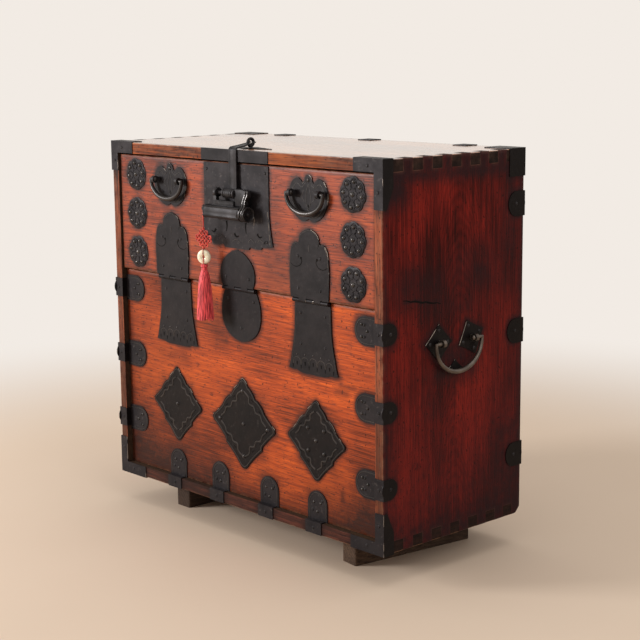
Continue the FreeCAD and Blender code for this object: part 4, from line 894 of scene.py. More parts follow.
@dataclass
class Case:
    """The woodwork: boards with finely shaded faces, two back boards and two runners.

    Blots are placed from each board's own corner.
    """

    finishes: Finishes
    nodes: dict[str, bpy.types.Object]
    board: float = 22.0
    side_board: float = 20.0
    panel_tall: float = 408.3
    flap_gap: float = 2.0
    fingers: int = 15
    worn_corner: float = 14.0
    back_arris: float = 0.8
    runner_arris: float = 1.5

    def build(self) -> None:
        """Builds and dresses every board."""
        iron = self.iron_tree()
        self.flap_board(iron)
        self.lower_panel(iron)
        self.side_boards(iron)
        self.crack()
        self.level_boards()
        for name in ("back_board_lower", "back_board_upper"):
            bevelled(self.nodes[name], self.back_arris, self.finishes.back)
        for name in ("left_runner", "right_runner"):
            bevelled(self.nodes[name], self.runner_arris, self.finishes.runner)

    def iron_tree(self) -> BVHTree:
        """Gathers the iron that lies on the wood, so that the wood can be stained near it.

        Returns:
            A tree that finds the nearest iron to a place in metres.
        """
        corners: list[Vector] = []
        faces: list[tuple[int, ...]] = []
        for name in PLATES + ("left_rosettes", "right_rosettes", "left_side_posts", "right_side_posts"):
            mesh = self.nodes[name].data
            start = len(corners)
            corners += [vertex.co.copy() for vertex in mesh.vertices]
            faces += [tuple(start + index for index in polygon.vertices) for polygon in mesh.polygons]
        return BVHTree.FromPolygons(corners, faces)

    def flap_board(self, iron: BVHTree) -> None:
        """Builds the flap with the stains that spread from its iron.

        Args:
            iron: What finds the nearest iron.
        """
        left = -INNER_X + self.flap_gap
        wide, middle, half_tall = -2 * left, -left, FLAP_TALL / 2
        edges = [Blot(middle, 0, CASE_WIDE, 1, 8, 0.75), Blot(middle, FLAP_TALL, CASE_WIDE, 1, 9, 0.6),
                 Blot(0, half_tall, 1, FLAP_TALL, 7, 0.6), Blot(wide, half_tall, 1, FLAP_TALL, 7, 0.5)]
        smudges = [Blot(485, 40, 30, 14, 60, 0.38), Blot(470, 130, 6, 40, 34, 0.34),
                   Blot(560, 88, 30, 6, 26, 0.35), Blot(110, 150, 4, 30, 26, 0.2),
                   Blot(290, 60, 6, 30, 30, 0.3), Blot(640, 20, 26, 10, 30, 0.25)]

        def shade(across: np.ndarray, up: np.ndarray) -> np.ndarray:
            """Darkens the board slowly towards its left end and its foot."""
            return (0.04 + 0.16 * np.clip(1 - across / 160, 0, 1)
                    + 0.22 * np.clip(1 - up / 120, 0, 1) * np.clip(across / 300 - 0.6, 0, 1))

        GriddedBoard("dressed_flap_board", "flap_board", "flap", (left, FLAP_Y, FLAP_Z), RIGHT, UP, REAR,
                     (wide, FLAP_TALL), 20, edges + smudges, step=4.0, shade=shade, iron=iron).build(
            self.finishes.front, self.finishes.front, self.finishes.end, self.finishes.inside)

    def lower_panel(self, iron: BVHTree) -> None:
        """Builds the fixed panel, brightest at its right and grimy along its foot.

        Args:
            iron: What finds the nearest iron.
        """
        wide, middle, tall = 2 * INNER_X, INNER_X, self.panel_tall
        blots = [Blot(middle + x, 150, half, half, 26, 0.5) for x in (-205, 205) for half in (26, 44)]
        blots += [Blot(middle, 145, 34, 34, 30, 0.6), Blot(middle, 145, 56, 54, 26, 0.45)]
        blots += [Blot(middle + x, 24, 21, 26, 26, 0.7) for x in FOOT_STRAPS]
        blots += [Blot(middle, 0, CASE_WIDE, 1, 46, 0.8), Blot(middle, tall, CASE_WIDE, 1, 9, 0.65),
                  Blot(0, 200, 1, tall, 26, 0.8), Blot(wide, 200, 1, tall, 9, 0.45)]
        blots += [Blot(wide, 55, 30, 50, 60, 0.55), Blot(313, 300, 10, 4, 11, 0.6),
                  Blot(640, 58, 3, 9, 6, 0.6), Blot(300, 330, 10, 30, 44, 0.5),
                  Blot(640, 250, 14, 3, 10, 0.5), Blot(655, 262, 20, 2, 8, 0.45),
                  Blot(150, 250, 40, 6, 30, 0.3)]

        def shade(across: np.ndarray, up: np.ndarray) -> np.ndarray:
            """Leaves the upper right of the panel bright.

            Args:
                across: The points' first coordinates.
                up: The points' second coordinates.

            Returns:
                How stained each point is.
            """
            corner = np.clip(1 - across / 460, 0, 1) * np.clip(1.15 - up / 260, 0, 1)
            right = np.clip((across - 520) / 175, 0, 1) * np.clip(1.2 - up / 150, 0, 1)
            return (0.06 + 0.36 * corner + 0.45 * np.clip(1 - up / 130, 0, 1) + 0.6 * right
                    + 0.36 * np.clip(1 - across / 440, 0, 1))

        GriddedBoard("dressed_lower_panel", "lower_front_panel", "carcass",
                     (-INNER_X, PANEL_Y, FLOOR_Z + self.board), RIGHT, UP, REAR, (wide, tall), 18, blots,
                     step=4.0, shade=shade, iron=iron).build(
            self.finishes.panel, self.finishes.panel, self.finishes.end, self.finishes.inside)

    def side_boards(self, iron: BVHTree) -> None:
        """Builds the two sides with finger joint notches and dark smudges.

        Args:
            iron: What finds the nearest iron.
        """
        finger = CASE_DEEP / self.fingers
        notches = []
        for row in range(1, self.fingers, 2):
            for low, high in ((CASE_TALL - self.board, CASE_TALL + 1), (-1, self.board)):
                notches.append((row * finger, (row + 1) * finger, low, high))
        blots = [Blot(180, 325, 44, 22, 34, 0.8), Blot(16, 652, 26, 26, 46, 1.0),
                 Blot(60, 676, 70, 12, 30, 0.85), Blot(8, 30, 14, 24, 26, 0.8),
                 Blot(352, 665, 24, 26, 26, 0.9), Blot(CASE_DEEP, 340, 3, 400, 22, 0.9),
                 Blot(180, 676, 240, 22, 24, 0.85), Blot(180, 0, 240, 26, 30, 0.75),
                 Blot(0, 100, 1, 130, 60, 0.5), Blot(248, 472, 12, 12, 30, 0.7),
                 Blot(70, 470, 10, 22, 24, 0.5), Blot(72, 443, 22, 1, 8, 0.9),
                 Blot(118, 435, 26, 1, 8, 0.9), Blot(95, 462, 44, 14, 34, 0.5),
                 Blot(230, 495, 34, 20, 40, 0.35), Blot(120, 250, 12, 16, 26, 0.35),
                 Blot(330, 120, 20, 50, 50, 0.45), Blot(160, 420, 60, 6, 40, 0.4),
                 Blot(330, 560, 10, 50, 40, 0.5)]

        def shade(across: np.ndarray, up: np.ndarray) -> np.ndarray:
            """Darkens the board at its foot and towards its rear edge."""
            return (0.02 + 0.74 * np.clip(1 - up / 500, 0, 1) + 0.2 * np.clip((across - 200) / 166, 0, 1)
                    + 0.3 * np.exp(-((up - 470) / 60) ** 2) + 0.45 * np.exp(-((across - 7) / 4) ** 2))

        for side, label in SIDES:
            edge = Blot(0, 340, 1, 400, 3, 0.35 if side < 0 else 0.0)
            GriddedBoard(f"dressed_{label}_side", f"{label}_side_board", "carcass",
                         (side * HALF_X, FRONT_Y, FLOOR_Z), REAR, UP, RIGHT * -side,
                         (CASE_DEEP, CASE_TALL), self.side_board, blots + [edge], notches, shade=shade,
                         worn_corner=self.worn_corner if side > 0 else 0.0, foot_worn=0.3, iron=iron,
                         halo=18.0).build(
                self.finishes.side, self.finishes.stile, self.finishes.end, self.finishes.inside)

    def crack(self) -> None:
        """Lays a dark sliver along the long crack in the right side, widest at its middle: painted shade
        inside the crack.
        """
        mesh = bmesh.new()
        path = [Vector((HALF_X + 0.05, FRONT_Y + 48 + 9.6 * step, 506 - 1.6 * step + math.sin(step * 2.3)))
                for step in range(11)]
        sweep(mesh, path, [0.6 + 1.2 * math.sin(math.pi * step / 10) for step in range(11)], 6,
              flatten=0.15, normal=RIGHT)
        make_piece("dressed_right_side_crack", mesh, "carcass", self.finishes.hole_shade)

    def level_boards(self) -> None:
        """Builds the top and the bottom, whose end grain shows between the fingers of the sides."""
        finger, middle = CASE_DEEP / self.fingers, HALF_X
        notches = []
        for row in range(0, self.fingers, 2):
            low = -1 if row == 0 else row * finger
            high = CASE_DEEP + 1 if row == self.fingers - 1 else (row + 1) * finger
            notches += [(-1, self.side_board, low, high),
                        (CASE_WIDE - self.side_board, CASE_WIDE + 1, low, high)]
        size, end, inside = (CASE_WIDE, CASE_DEEP), self.finishes.end, self.finishes.inside
        blots = [Blot(middle, 41, 50, 8, 12, 0.7), Blot(middle, 0, 92, 2, 12, 0.7),
                 Blot(35, 16, 34, 18, 12, 0.7), Blot(740, 16, 34, 18, 12, 0.7),
                 Blot(middle, CASE_DEEP, 400, 2, 14, 0.7), Blot(middle, 0, 400, 1, 7, 0.5)]
        GriddedBoard("dressed_top_board", "top_board", "carcass", (-HALF_X, FRONT_Y, TOP_Z), RIGHT, REAR,
                     -UP, size, self.board, blots, notches, rounding=1.2).build(
            self.finishes.top, self.finishes.rail, end, inside)
        blots = [Blot(middle + x, 0, 21, 3, 20, 0.9) for x in FOOT_STRAPS]
        blots += [Blot(x, 0, 80, 3, 20, 0.8) for x in (0, CASE_WIDE)]
        GriddedBoard("dressed_bottom_board", "bottom_board", "carcass", (-HALF_X, FRONT_Y, FLOOR_Z), RIGHT,
                     REAR, UP, size, self.board, blots, notches, worn=0.4).build(
            self.finishes.back, self.finishes.sill, end, inside)


# ---------------------------------------------------------------------- the ironwork
@dataclass
class Chasing:
    """Marks cut or raised on sheet iron that lies on a front face: ridges, holes drawn as dark sheets
    of painted shade, bright stretches of painted highlight on rubbed edges, and bosses.

    Marks are placed from the middle of a plate, and may be turned left for right there.
    """

    face: float
    finishes: Finishes
    middle: Flat = (0.0, 0.0)
    side: int = 1
    raised: bmesh.types.BMesh = field(default_factory=bmesh.new)
    pierced: bmesh.types.BMesh = field(default_factory=bmesh.new)
    # bright stretches of painted highlight on rubbed edges
    rubbed: bmesh.types.BMesh = field(default_factory=bmesh.new)

    def move(self, x: float, z: float, side: int = 1) -> None:
        """Moves to another plate."""
        self.middle, self.side = (x, z), side

    def placed(self, x: float, z: float, turn: int = 1) -> Vector:
        """Places a point on the face, on the plate's other half where turn is -1."""
        return Vector((self.middle[0] + self.side * turn * x, self.face, self.middle[1] + z))

    def paths(self, points: Sequence[Sequence[float]], both: bool,
              closed: bool = False) -> list[list[Vector]]:
        """Runs a smooth line on the face.

        Args:
            points: (x, z) points, with a third entry where the line turns sharply.
            both: Whether the plate's other half gets the line too.
            closed: Whether the line returns to its start.

        Returns:
            The line and, where it is wanted, its mirror image.
        """
        line = smooth_path(points, closed, 5)
        turns = (1, -1) if both else (1,)
        return [[self.placed(point.x, point.y, turn) for point in line] for turn in turns]

    def ridge(self, points: Sequence[Sequence[float]], wide: float = 1.6, both: bool = False,
              closed: bool = False, tall: float = 0.7) -> None:
        """Raises a rounded line.

        Args:
            points: (x, z) points, with a third entry where the line turns sharply.
            wide: Its width.
            both: Whether the plate's other half gets it too.
            closed: Whether it returns to its start.
            tall: Its height as a share of half its width.
        """
        for path in self.paths(points, both, closed):
            sweep(self.raised, path, wide / 2, 6, closed, tall, FRONT)

    def tear(self, points: Sequence[Flat], wide: float, tail: float = 0.3, both: bool = False) -> None:
        """Lays a tapering dark sheet where a stroke is pierced, widest at its start: painted shade in the
        hole.

        Args:
            points: Its (x, z) points.
            wide: Its width at the start.
            tail: The share of that width left at its end.
            both: Whether the plate's other half gets it too.
        """
        for path in self.paths(points, both):
            count = len(path) - 1
            radii = [wide / 2 * (1 - (1 - tail) * (step / count) ** 0.8) for step in range(count + 1)]
            sweep(self.pierced, [point + FRONT * 0.05 for point in path], radii, flatten=0.05, normal=FRONT)

    def glint(self, points: Sequence[Sequence[float]]) -> None:
        """Lays a short bright stretch on an edge: rubbed iron with a painted highlight.

        Args:
            points: Its (x, z) points.
        """
        radii = [0.9 * math.sin(math.pi * (step + 0.5) / len(points)) for step in range(len(points))]
        sweep(self.rubbed, [self.placed(point[0], point[1]) for point in points], radii, 6, flatten=0.7,
              normal=FRONT)

    def boss(self, x: float, z: float, radius: float, tall: float) -> None:
        """Sets a domed head."""
        dome(self.raised, self.placed(x, z), FRONT, radius, tall)

    def finish(self, name: str, body: str) -> None:
        """Makes the pieces that hold the marks.

        Args:
            name: How their names start.
            body: The body that carries them.
        """
        # the pierced marks are painted shade, and the rubbed marks painted highlight on worn edges
        for mesh, label, material in ((self.raised, "raised", self.finishes.chased),
                                      (self.pierced, "pierced", self.finishes.hole_shade),
                                      (self.rubbed, "rubbed", self.finishes.polished)):
            if mesh.verts:
                make_piece(f"{name}_{label}", mesh, body, material)
            else:
                mesh.free()


# half outlines: (share across, share up, bulge of the edge that arrives), up the right side
DIAMOND = ((0, 0, 0), (0.06, 0.035, 0.2), (0.29, 0.25, -0.06), (0.31, 0.31, -0.3), (0.47, 0.455, -0.04),
           (0.5, 0.5, 0.25), (0.47, 0.545, 0.25), (0.335, 0.665, -0.05), (0.215, 0.79, 0.16),
           (0.19, 0.80, -0.3), (0.075, 0.925, 0.14), (0, 1, 0.22))
UPPER_LEAF = ((0.48, 0, 0), (0.5, 0.36, 0), (0.47, 0.66, 0.04), (0.37, 0.79, 0.22), (0.28, 0.79, 0.15),
              (0.25, 0.87, -0.25), (0.13, 0.965, 0.2), (0, 1, 0.08))


def outline(half: Sequence[Point], wide: float, tall: float, scale: float) -> list[tuple[float, float, int]]:
    """Draws a symmetrical plate's outline round its middle.

    Args:
        half: (share across, share up, bulge of the edge that arrives) up its right side.
        wide: The plate's width.
        tall: The plate's height.
        scale: How large the line is beside the plate.

    Returns:
        Corner points of a fine polyline.
    """
    right: list[Flat] = [(half[0][0] * wide, (half[0][1] - 0.5) * tall)]
    for (x0, z0, _), (x1, z1, bulge) in zip(half, half[1:]):
        start = Vector((x0 * wide, (z0 - 0.5) * tall))
        run = Vector((x1 * wide, (z1 - 0.5) * tall)) - start
        aside = Vector((run.y, -run.x)) * bulge * 2
        shares = [step / 5 for step in range(1, 6)]
        right += [tuple(start + run * share + aside * share * (1 - share)) for share in shares]
    left = [(-x, z) for x, z in reversed(right) if x > 0.01]
    return [(x * scale, z * scale, 1) for x, z in right + left]


@dataclass
class Ironwork:
    """Sheet iron of the case and the flap: plates, leaves, straps, irons and nails."""

    finishes: Finishes
    nodes: dict[str, bpy.types.Object]
    fittings: tuple[str, ...] = ("hinge_pins", "right_handle_posts", "left_handle_posts", "cotter_ring",
                                 "case_nails", "flap_nails")
    plate_arris: float = 0.4
    fitting_arris: float = 0.45
    post_arris: float = 0.8
    rosette_x: float = 312.0
    rosette_rows: tuple[float, ...] = (63, 141, 219)
    petals: int = 8
    strap_x: float = 309.0
    strap_rows: tuple[float, ...] = (452, 315, 178)
    lower_leaf_tall: float = 130.0

    def build(self) -> None:
        """Dresses the carried-over iron and adds what stands on it."""
        for name in PLATES:
            finish = self.finishes.plate
            if name.endswith("diamond") or "rear" in name:
                finish = self.finishes.dark_plate
            elif "corner" in name or "strap" in name or name == "lock_plate":
                finish = self.finishes.worn_plate
            bevelled(self.nodes[name], self.plate_arris, finish)
        for name in self.fittings:
            bevelled(self.nodes[name], self.fitting_arris, self.finishes.fitting)
        for side, label in SIDES:
            bevelled(self.nodes[f"{label}_side_posts"], self.post_arris, self.finishes.polished)
            self.rosettes(side, label)
            self.handle_relief(side, label)
            self.upper_leaf(side, label)
            self.lower_leaf(side, label)
            # painted highlight on worn arrises that face the given way
            for plate, body, out, towards, least in (
                    ("side_plates", "carcass", RIGHT * side, FRONT + UP * 0.6, -0.4),
                    ("hinge_upper_leaf", "flap", FRONT, RIGHT + UP * 0.3, 0.15),
                    ("hinge_lower_leaf", "carcass", FRONT, RIGHT, 0.2),
                    ("diamond", "carcass", FRONT, UP, 0.1),
                    ("handle_plate", "flap", FRONT, RIGHT + UP * 0.5, 0.2),
                    ("foot_corner_iron", "carcass", FRONT, RIGHT, 0.14),
                    ("top_corner_iron", "carcass", FRONT, RIGHT, 0.14),
                    ("front_straps", "carcass", FRONT, RIGHT + UP, 0.15)):
                self.rubbed_and_highlit_edges(f"{label}_{plate}", body, out, towards, least)
        self.rubbed_and_highlit_edges("middle_diamond", "carcass", FRONT, UP, 0.1)
        self.lock_plate_marks()
        self.diamonds()
        self.strap_relief()

    def rubbed_and_highlit_edges(self, name: str, body: str, out: Vector, towards: Vector, least: float) -> None:
        """Lays bright rods on short stretches of a plate's arris that look one way: edges worn by hands and
        cloths, with a painted highlight where they catch the light.

        Args:
            name: The plate's node.
            body: The body that carries it.
            out: The direction that its show face looks in.
            towards: The direction that the brightened arrises look in, where they get a painted highlight.
            least: How high the noise has to be, from -1 for every arris to 1 for none.
        """
        plate, rubbed = bmesh.new(), bmesh.new()
        plate.from_mesh(self.nodes[name].data)
        bmesh.ops.remove_doubles(plate, verts=plate.verts, dist=1e-6)
        plate.normal_update()
        reach = max(vertex.co.dot(out) for vertex in plate.verts)
        for edge in plate.edges:
            start, stop = (vertex.co for vertex in edge.verts)
            if min(start.dot(out), stop.dot(out)) < reach - 0.4 * MM or len(edge.link_faces) != 2:
                continue
            walls = [face.normal for face in edge.link_faces if face.normal.dot(out) < 0.9]
            if len(walls) != 1 or walls[0].dot(towards.normalized()) < 0.5:
                continue
            parts = max(1, round((stop - start).length / (3 * MM)))
            for part in range(parts):
                low, high = (start.lerp(stop, end / parts) for end in (part, part + 1))
                share = noise.noise(low * 70) - least
                if share > 0:
                    sweep(rubbed, [low / MM, high / MM], min(0.62, 0.3 + share), 6, flatten=0.7, normal=out)
        plate.free()
        if rubbed.verts:
            make_piece(f"{name}_rubbed_highlit_arris", rubbed, body, self.finishes.bright)
        else:
            rubbed.free()

    def rosettes(self, side: int, label: str) -> None:
        """Builds a column of three flowers: scalloped discs with looped petals and round studs.

        Args:
            side: -1 for the left column, 1 for the right one.
            label: Its name.
        """
        discs, studs = bmesh.new(), bmesh.new()
        turns = [2 * math.pi * step / 96 for step in range(96)]
        for row in self.rosette_rows:
            off = noise.noise(Vector((side * 3.1, row, 0.5))) * 0.7
            middle = Vector((side * self.rosette_x, FLAP_Y, TOP_Z - row))
            loops = []
            for share, high in ((1.0, 0.0), (1.0, 0.9), (0.96, 1.4), (0.8, 1.5), (0.5, 1.5), (0.25, 1.6)):
                reaches = [(28.8 + 3.4 * abs(math.cos(self.petals / 2 * (turn - off))) ** 0.6) * share
                           for turn in turns]
                loops.append([middle + Vector((far * math.cos(turn), -high, far * math.sin(turn)))
                              for far, turn in zip(reaches, turns)])
            skin(discs, loops, crown=middle + FRONT * 1.6)
            face = middle + FRONT * 1.5
            dome(studs, face, FRONT, 4.6, 3.4)
            for petal in range(self.petals):
                turn = 2 * math.pi * petal / self.petals + off
                away = Vector((math.cos(turn), 0, math.sin(turn)))
                dome(studs, face + away * 22.5, FRONT, 3.9, 3.2)
                across = Vector((-away.z, 0, away.x))
                sweep(discs, circle(face + away * 19, away * 9.2, across * 7.6, 1, 20), 1.3, 6, closed=True,
                      flatten=0.8, normal=FRONT)
        make_piece(f"{label}_flower_discs", discs, "flap", self.finishes.worn_plate, (f"{label}_rosettes",))
        make_piece(f"{label}_flower_bosses", studs, "flap", self.finishes.stud)

    def handle_relief(self, side: int, label: str) -> None:
        """Raises the leaf, the bud and the curled lines of a handle plate.

        Args:
            side: -1 for the left plate, 1 for the right one.
            label: Its name.
        """
        marks = Chasing(FLAP_Y - SHEET, self.finishes, (side * HINGE_X, TOP_Z - 118))
        marks.ridge([(0, 18), (5, 32), (6, 48), (0, 66)], both=True)
        marks.boss(0, 73, 4.0, 2.2)
        marks.tear([(0, 30), (0, 20)], 4.0)
        marks.ridge([(6, 70), (16, 60), (30, 67), (40, 56), (43, 40), (34, 20), (18, 8), (5, 10)], 1.5,
                    both=True)
        marks.ridge([(10, 34), (17, 44), (12, 55)], 1.5, both=True)
        marks.tear([(20, 24), (26, 30)], 4.4, both=True)
        marks.finish(f"{label}_handle_relief", "flap")

    def upper_leaf(self, side: int, label: str) -> None:
        """Marks an upper hinge leaf: its rim, two comma piercings and a chased line below.

        Args:
            side: -1 for the left leaf, 1 for the right one.
            label: Its name.
        """
        wide, tall = 104, 126
        marks = Chasing(FLAP_Y - LEAF, self.finishes, (side * HINGE_X, FLAP_Z + tall / 2))
        rim = outline(UPPER_LEAF, wide, tall, 0.965)
        marks.ridge(rim[3:-3], 1.0, tall=0.6)
        marks.tear([(21, 11.2), (21, 7.2)], 5.4, 0.8, both=True)
        marks.tear([(20, 8.2), (19, 2.2), (26, -4.8), (38, -6.8), (49, -1.8)], 2.2, 0.5, both=True)
        marks.ridge([(0, 22.2), (0, 34.2)], 2.0)
        marks.tear([(27, 40.2), (23, 30.2)], 2.6)
        # painted highlights on stretches of the right-hand rim
        for low, high in ((0.2, 0.24), (0.33, 0.42), (0.47, 0.5)):
            marks.glint(rim[int(len(rim) / 2 * low):int(len(rim) / 2 * high) + 1])
        marks.finish(f"{label}_upper_leaf_marks", "flap")

    def lower_leaf(self, side: int, label: str) -> None:
        """Marks a lower hinge leaf: a band of scallops with small piercings at its foot.

        Args:
            side: -1 for the left leaf, 1 for the right one.
            label: Its name.
        """
        marks = Chasing(PANEL_Y - LEAF, self.finishes, (side * HINGE_X, LEAF_TOP_Z - self.lower_leaf_tall))
        marks.ridge([(44, self.lower_leaf_tall - 8), (46, 80), (53, 38), (60, 12)], 1.0, both=True)
        pitch = 21.5
        for lobe in range(-2, 3):
            middle, low = lobe * pitch, 17 - abs(lobe)
            marks.ridge([(middle - 10, low), (middle - 8, low + 9), (middle, low + 13), (middle + 8, low + 9),
                         (middle + 10, low)])
            marks.tear([(middle, low + 5), (middle, low - 2)], 4.4, 0.5)
            marks.boss(middle, low + 18, 1.8, 1.2)
        for lobe in range(6):
            marks.tear([(lobe * pitch - 54, 14), (lobe * pitch - 54, 7)], 3.4, 0.4)
        marks.finish(f"{label}_lower_leaf_marks", "carcass")

    def lock_plate_marks(self) -> None:
        """Marks the lock plate: pierced tears, small chased strokes and a line at each edge."""
        marks = Chasing(FLAP_Y - LEAF, self.finishes, (0, TOP_Z - 184))
        marks.ridge([(89, 150), (88.5, 84), (91, 44), (97, 15)], 1.0, both=True)
        marks.tear([(28, 50), (27, 40), (29, 30)], 6.0, both=True)
        marks.tear([(60, 32), (66, 26), (74, 28)], 6.0, both=True)
        marks.tear([(84, 20), (78, 15)], 5.0, both=True)
        marks.ridge([(34, 14), (42, 20), (52, 14)], 1.4, both=True)
        marks.ridge([(60, 16), (68, 21), (77, 16)], 1.4, both=True)
        # painted highlights on stretches of the right edge
        for high, low in ((74, 62), (56, 40), (34, 22), (20, 12)):
            marks.glint([(90 + (74 - up) * 0.1, up) for up in (high, (high + low) / 2, low)])
        marks.glint([(50, 68), (52, 56), (51, 46)])
        marks.tear([(-6, 28), (0, 22), (8, 24)], 6.0)
        marks.ridge([(-12, 12), (0, 17), (12, 12)], 1.4)
        marks.finish("lock_plate_marks", "flap")

    def diamonds(self) -> None:
        """Marks the three diamond plates with cusped borders, curls and round studs."""
        curl = ((0.02, 0.36), (0.09, 0.31), (0.1, 0.24), (0.17, 0.22), (0.2, 0.16), (0.27, 0.14),
                (0.3, 0.08), (0.36, 0.03))
        tears = (((0.13, 0.29), (0.17, 0.26)), ((0.25, 0.18), (0.29, 0.15)))
        for label, centre, wide, tall, studs in (
                ("left", (-205, 232), 153, 151, ((0, 0),)),
                ("middle", (0, 227), 184, 178, ((0, 0), (0, 0.36), (0, -0.36), (0.38, 0), (-0.38, 0))),
                ("right", (205, 232), 153, 151,
                 ((0, 0), (0.14, 0.14), (-0.14, 0.14), (0.14, -0.14), (-0.14, -0.14)))):
            marks = Chasing(PANEL_Y - SHEET, self.finishes, centre)
            rim = outline(DIAMOND, wide, tall, 0.95)
            marks.ridge(rim, 2.2, closed=True)
            # painted highlights on stretches of the rim
            for start in (3, 16, 34, 47, 61, 80, 96):
                marks.glint(rim[start:start + 4])
            for up in (tall, -tall):
                marks.ridge([(u * wide, v * up) for u, v in curl], 3.2, both=True, tall=0.8)
                for tear in tears:
                    marks.tear([(u * wide, v * up) for u, v in tear], 3.2, both=True)
            for u, v in studs:
                marks.boss(u * wide, v * tall, 4.0, 3.0)
            marks.finish(f"{label}_diamond_marks", "carcass")

    def strap_relief(self) -> None:
        """Raises a lobed rim and round studs on the straps that end on the panel."""
        marks = Chasing(PANEL_Y - SHEET, self.finishes)
        for side, _ in SIDES:
            for row in self.strap_rows:
                marks.move(side * self.strap_x, row, side)
                marks.ridge([(55, 21), (24, 22), (10, 17), (3, 6), (3, -6), (10, -17), (24, -22),
                             (55, -21)], 2.0)
                for x, rise in ((16, 11), (16, -11), (30, 0)):
                    marks.boss(x, rise, 3.0, 2.4)
        for x in FOOT_STRAPS:
            marks.move(x, FLOOR_Z + 24)
            marks.ridge([(-21, 0), (-22, 26), (-17, 41), (-6, 49.5), (6, 49.5), (17, 41), (22, 26),
                         (21, 0)], 2.0)
            for across, rise in ((-9, 32), (9, 32), (0, 15)):
                marks.boss(across, rise, 2.8, 2.2)
        marks.finish("strap_relief", "carcass")


@dataclass
class Handles:
    """Drop handles: a pair on the flap and one on each side of the case.

    A size is half the distance between a bail's bends, how far its bow hangs and the length of
    each inturned end.
    """

    finishes: Finishes
    front_size: Point = (48.0, 36.0, 15.0)
    side_size: Point = (60.0, 55.0, 24.0)
    stand_off: float = 11.5
    thin: float = 3.4
    thicker: float = 1.3

    def build(self) -> None:
        """Builds the four bails."""
        for side, label in SIDES:
            self.bail(f"{label}_forged_bail", f"{label}_bail",
                      Vector((side * HINGE_X, FLAP_Y - self.stand_off, TOP_Z - 68)), RIGHT,
                      self.front_size, self.finishes.chased)
            self.bail(f"{label}_forged_side_bail", f"{label}_side_bail",
                      Vector((side * (HALF_X + self.stand_off), FRONT_Y + 180, TOP_Z - 330)), REAR,
                      self.side_size, self.finishes.polished)

    def bail(self, name: str, body: str, centre: Vector, along: Vector, size: Point,
             material: bpy.types.Material) -> None:
        """Forges one bail: thick at the middle of its bow, with thin inturned ends.

        Args:
            name: The piece's name.
            body: Its body, which is also the node that it replaces.
            centre: The middle of its pivot line.
            along: The direction of the pivot line.
            size: Its size, as the class gives it.
            material: Its finish.
        """
        half, fall, stub = size
        turns = [math.pi * step / 40 for step in range(41)]
        ends = [half - stub * (1 - step / 4) for step in range(4)]
        path = [centre - along * end for end in ends]
        path += [centre - along * half * math.cos(turn) - UP * fall * math.sin(turn) ** 0.9 for turn in turns]
        path += [centre + along * end for end in reversed(ends)]
        radii = [self.thin + self.thicker * math.sin(turn) ** 1.3 for turn in turns]
        radii = [self.thin] * 4 + radii + [self.thin] * 4
        mesh = bmesh.new()
        sweep(mesh, path, radii, 14)
        for end in (path[0], path[-1]):
            inward = (centre - end).normalized()
            dome(mesh, end - inward * 1.4, inward, 4.6, 3.6)
        make_piece(name, mesh, body, material, (body,))


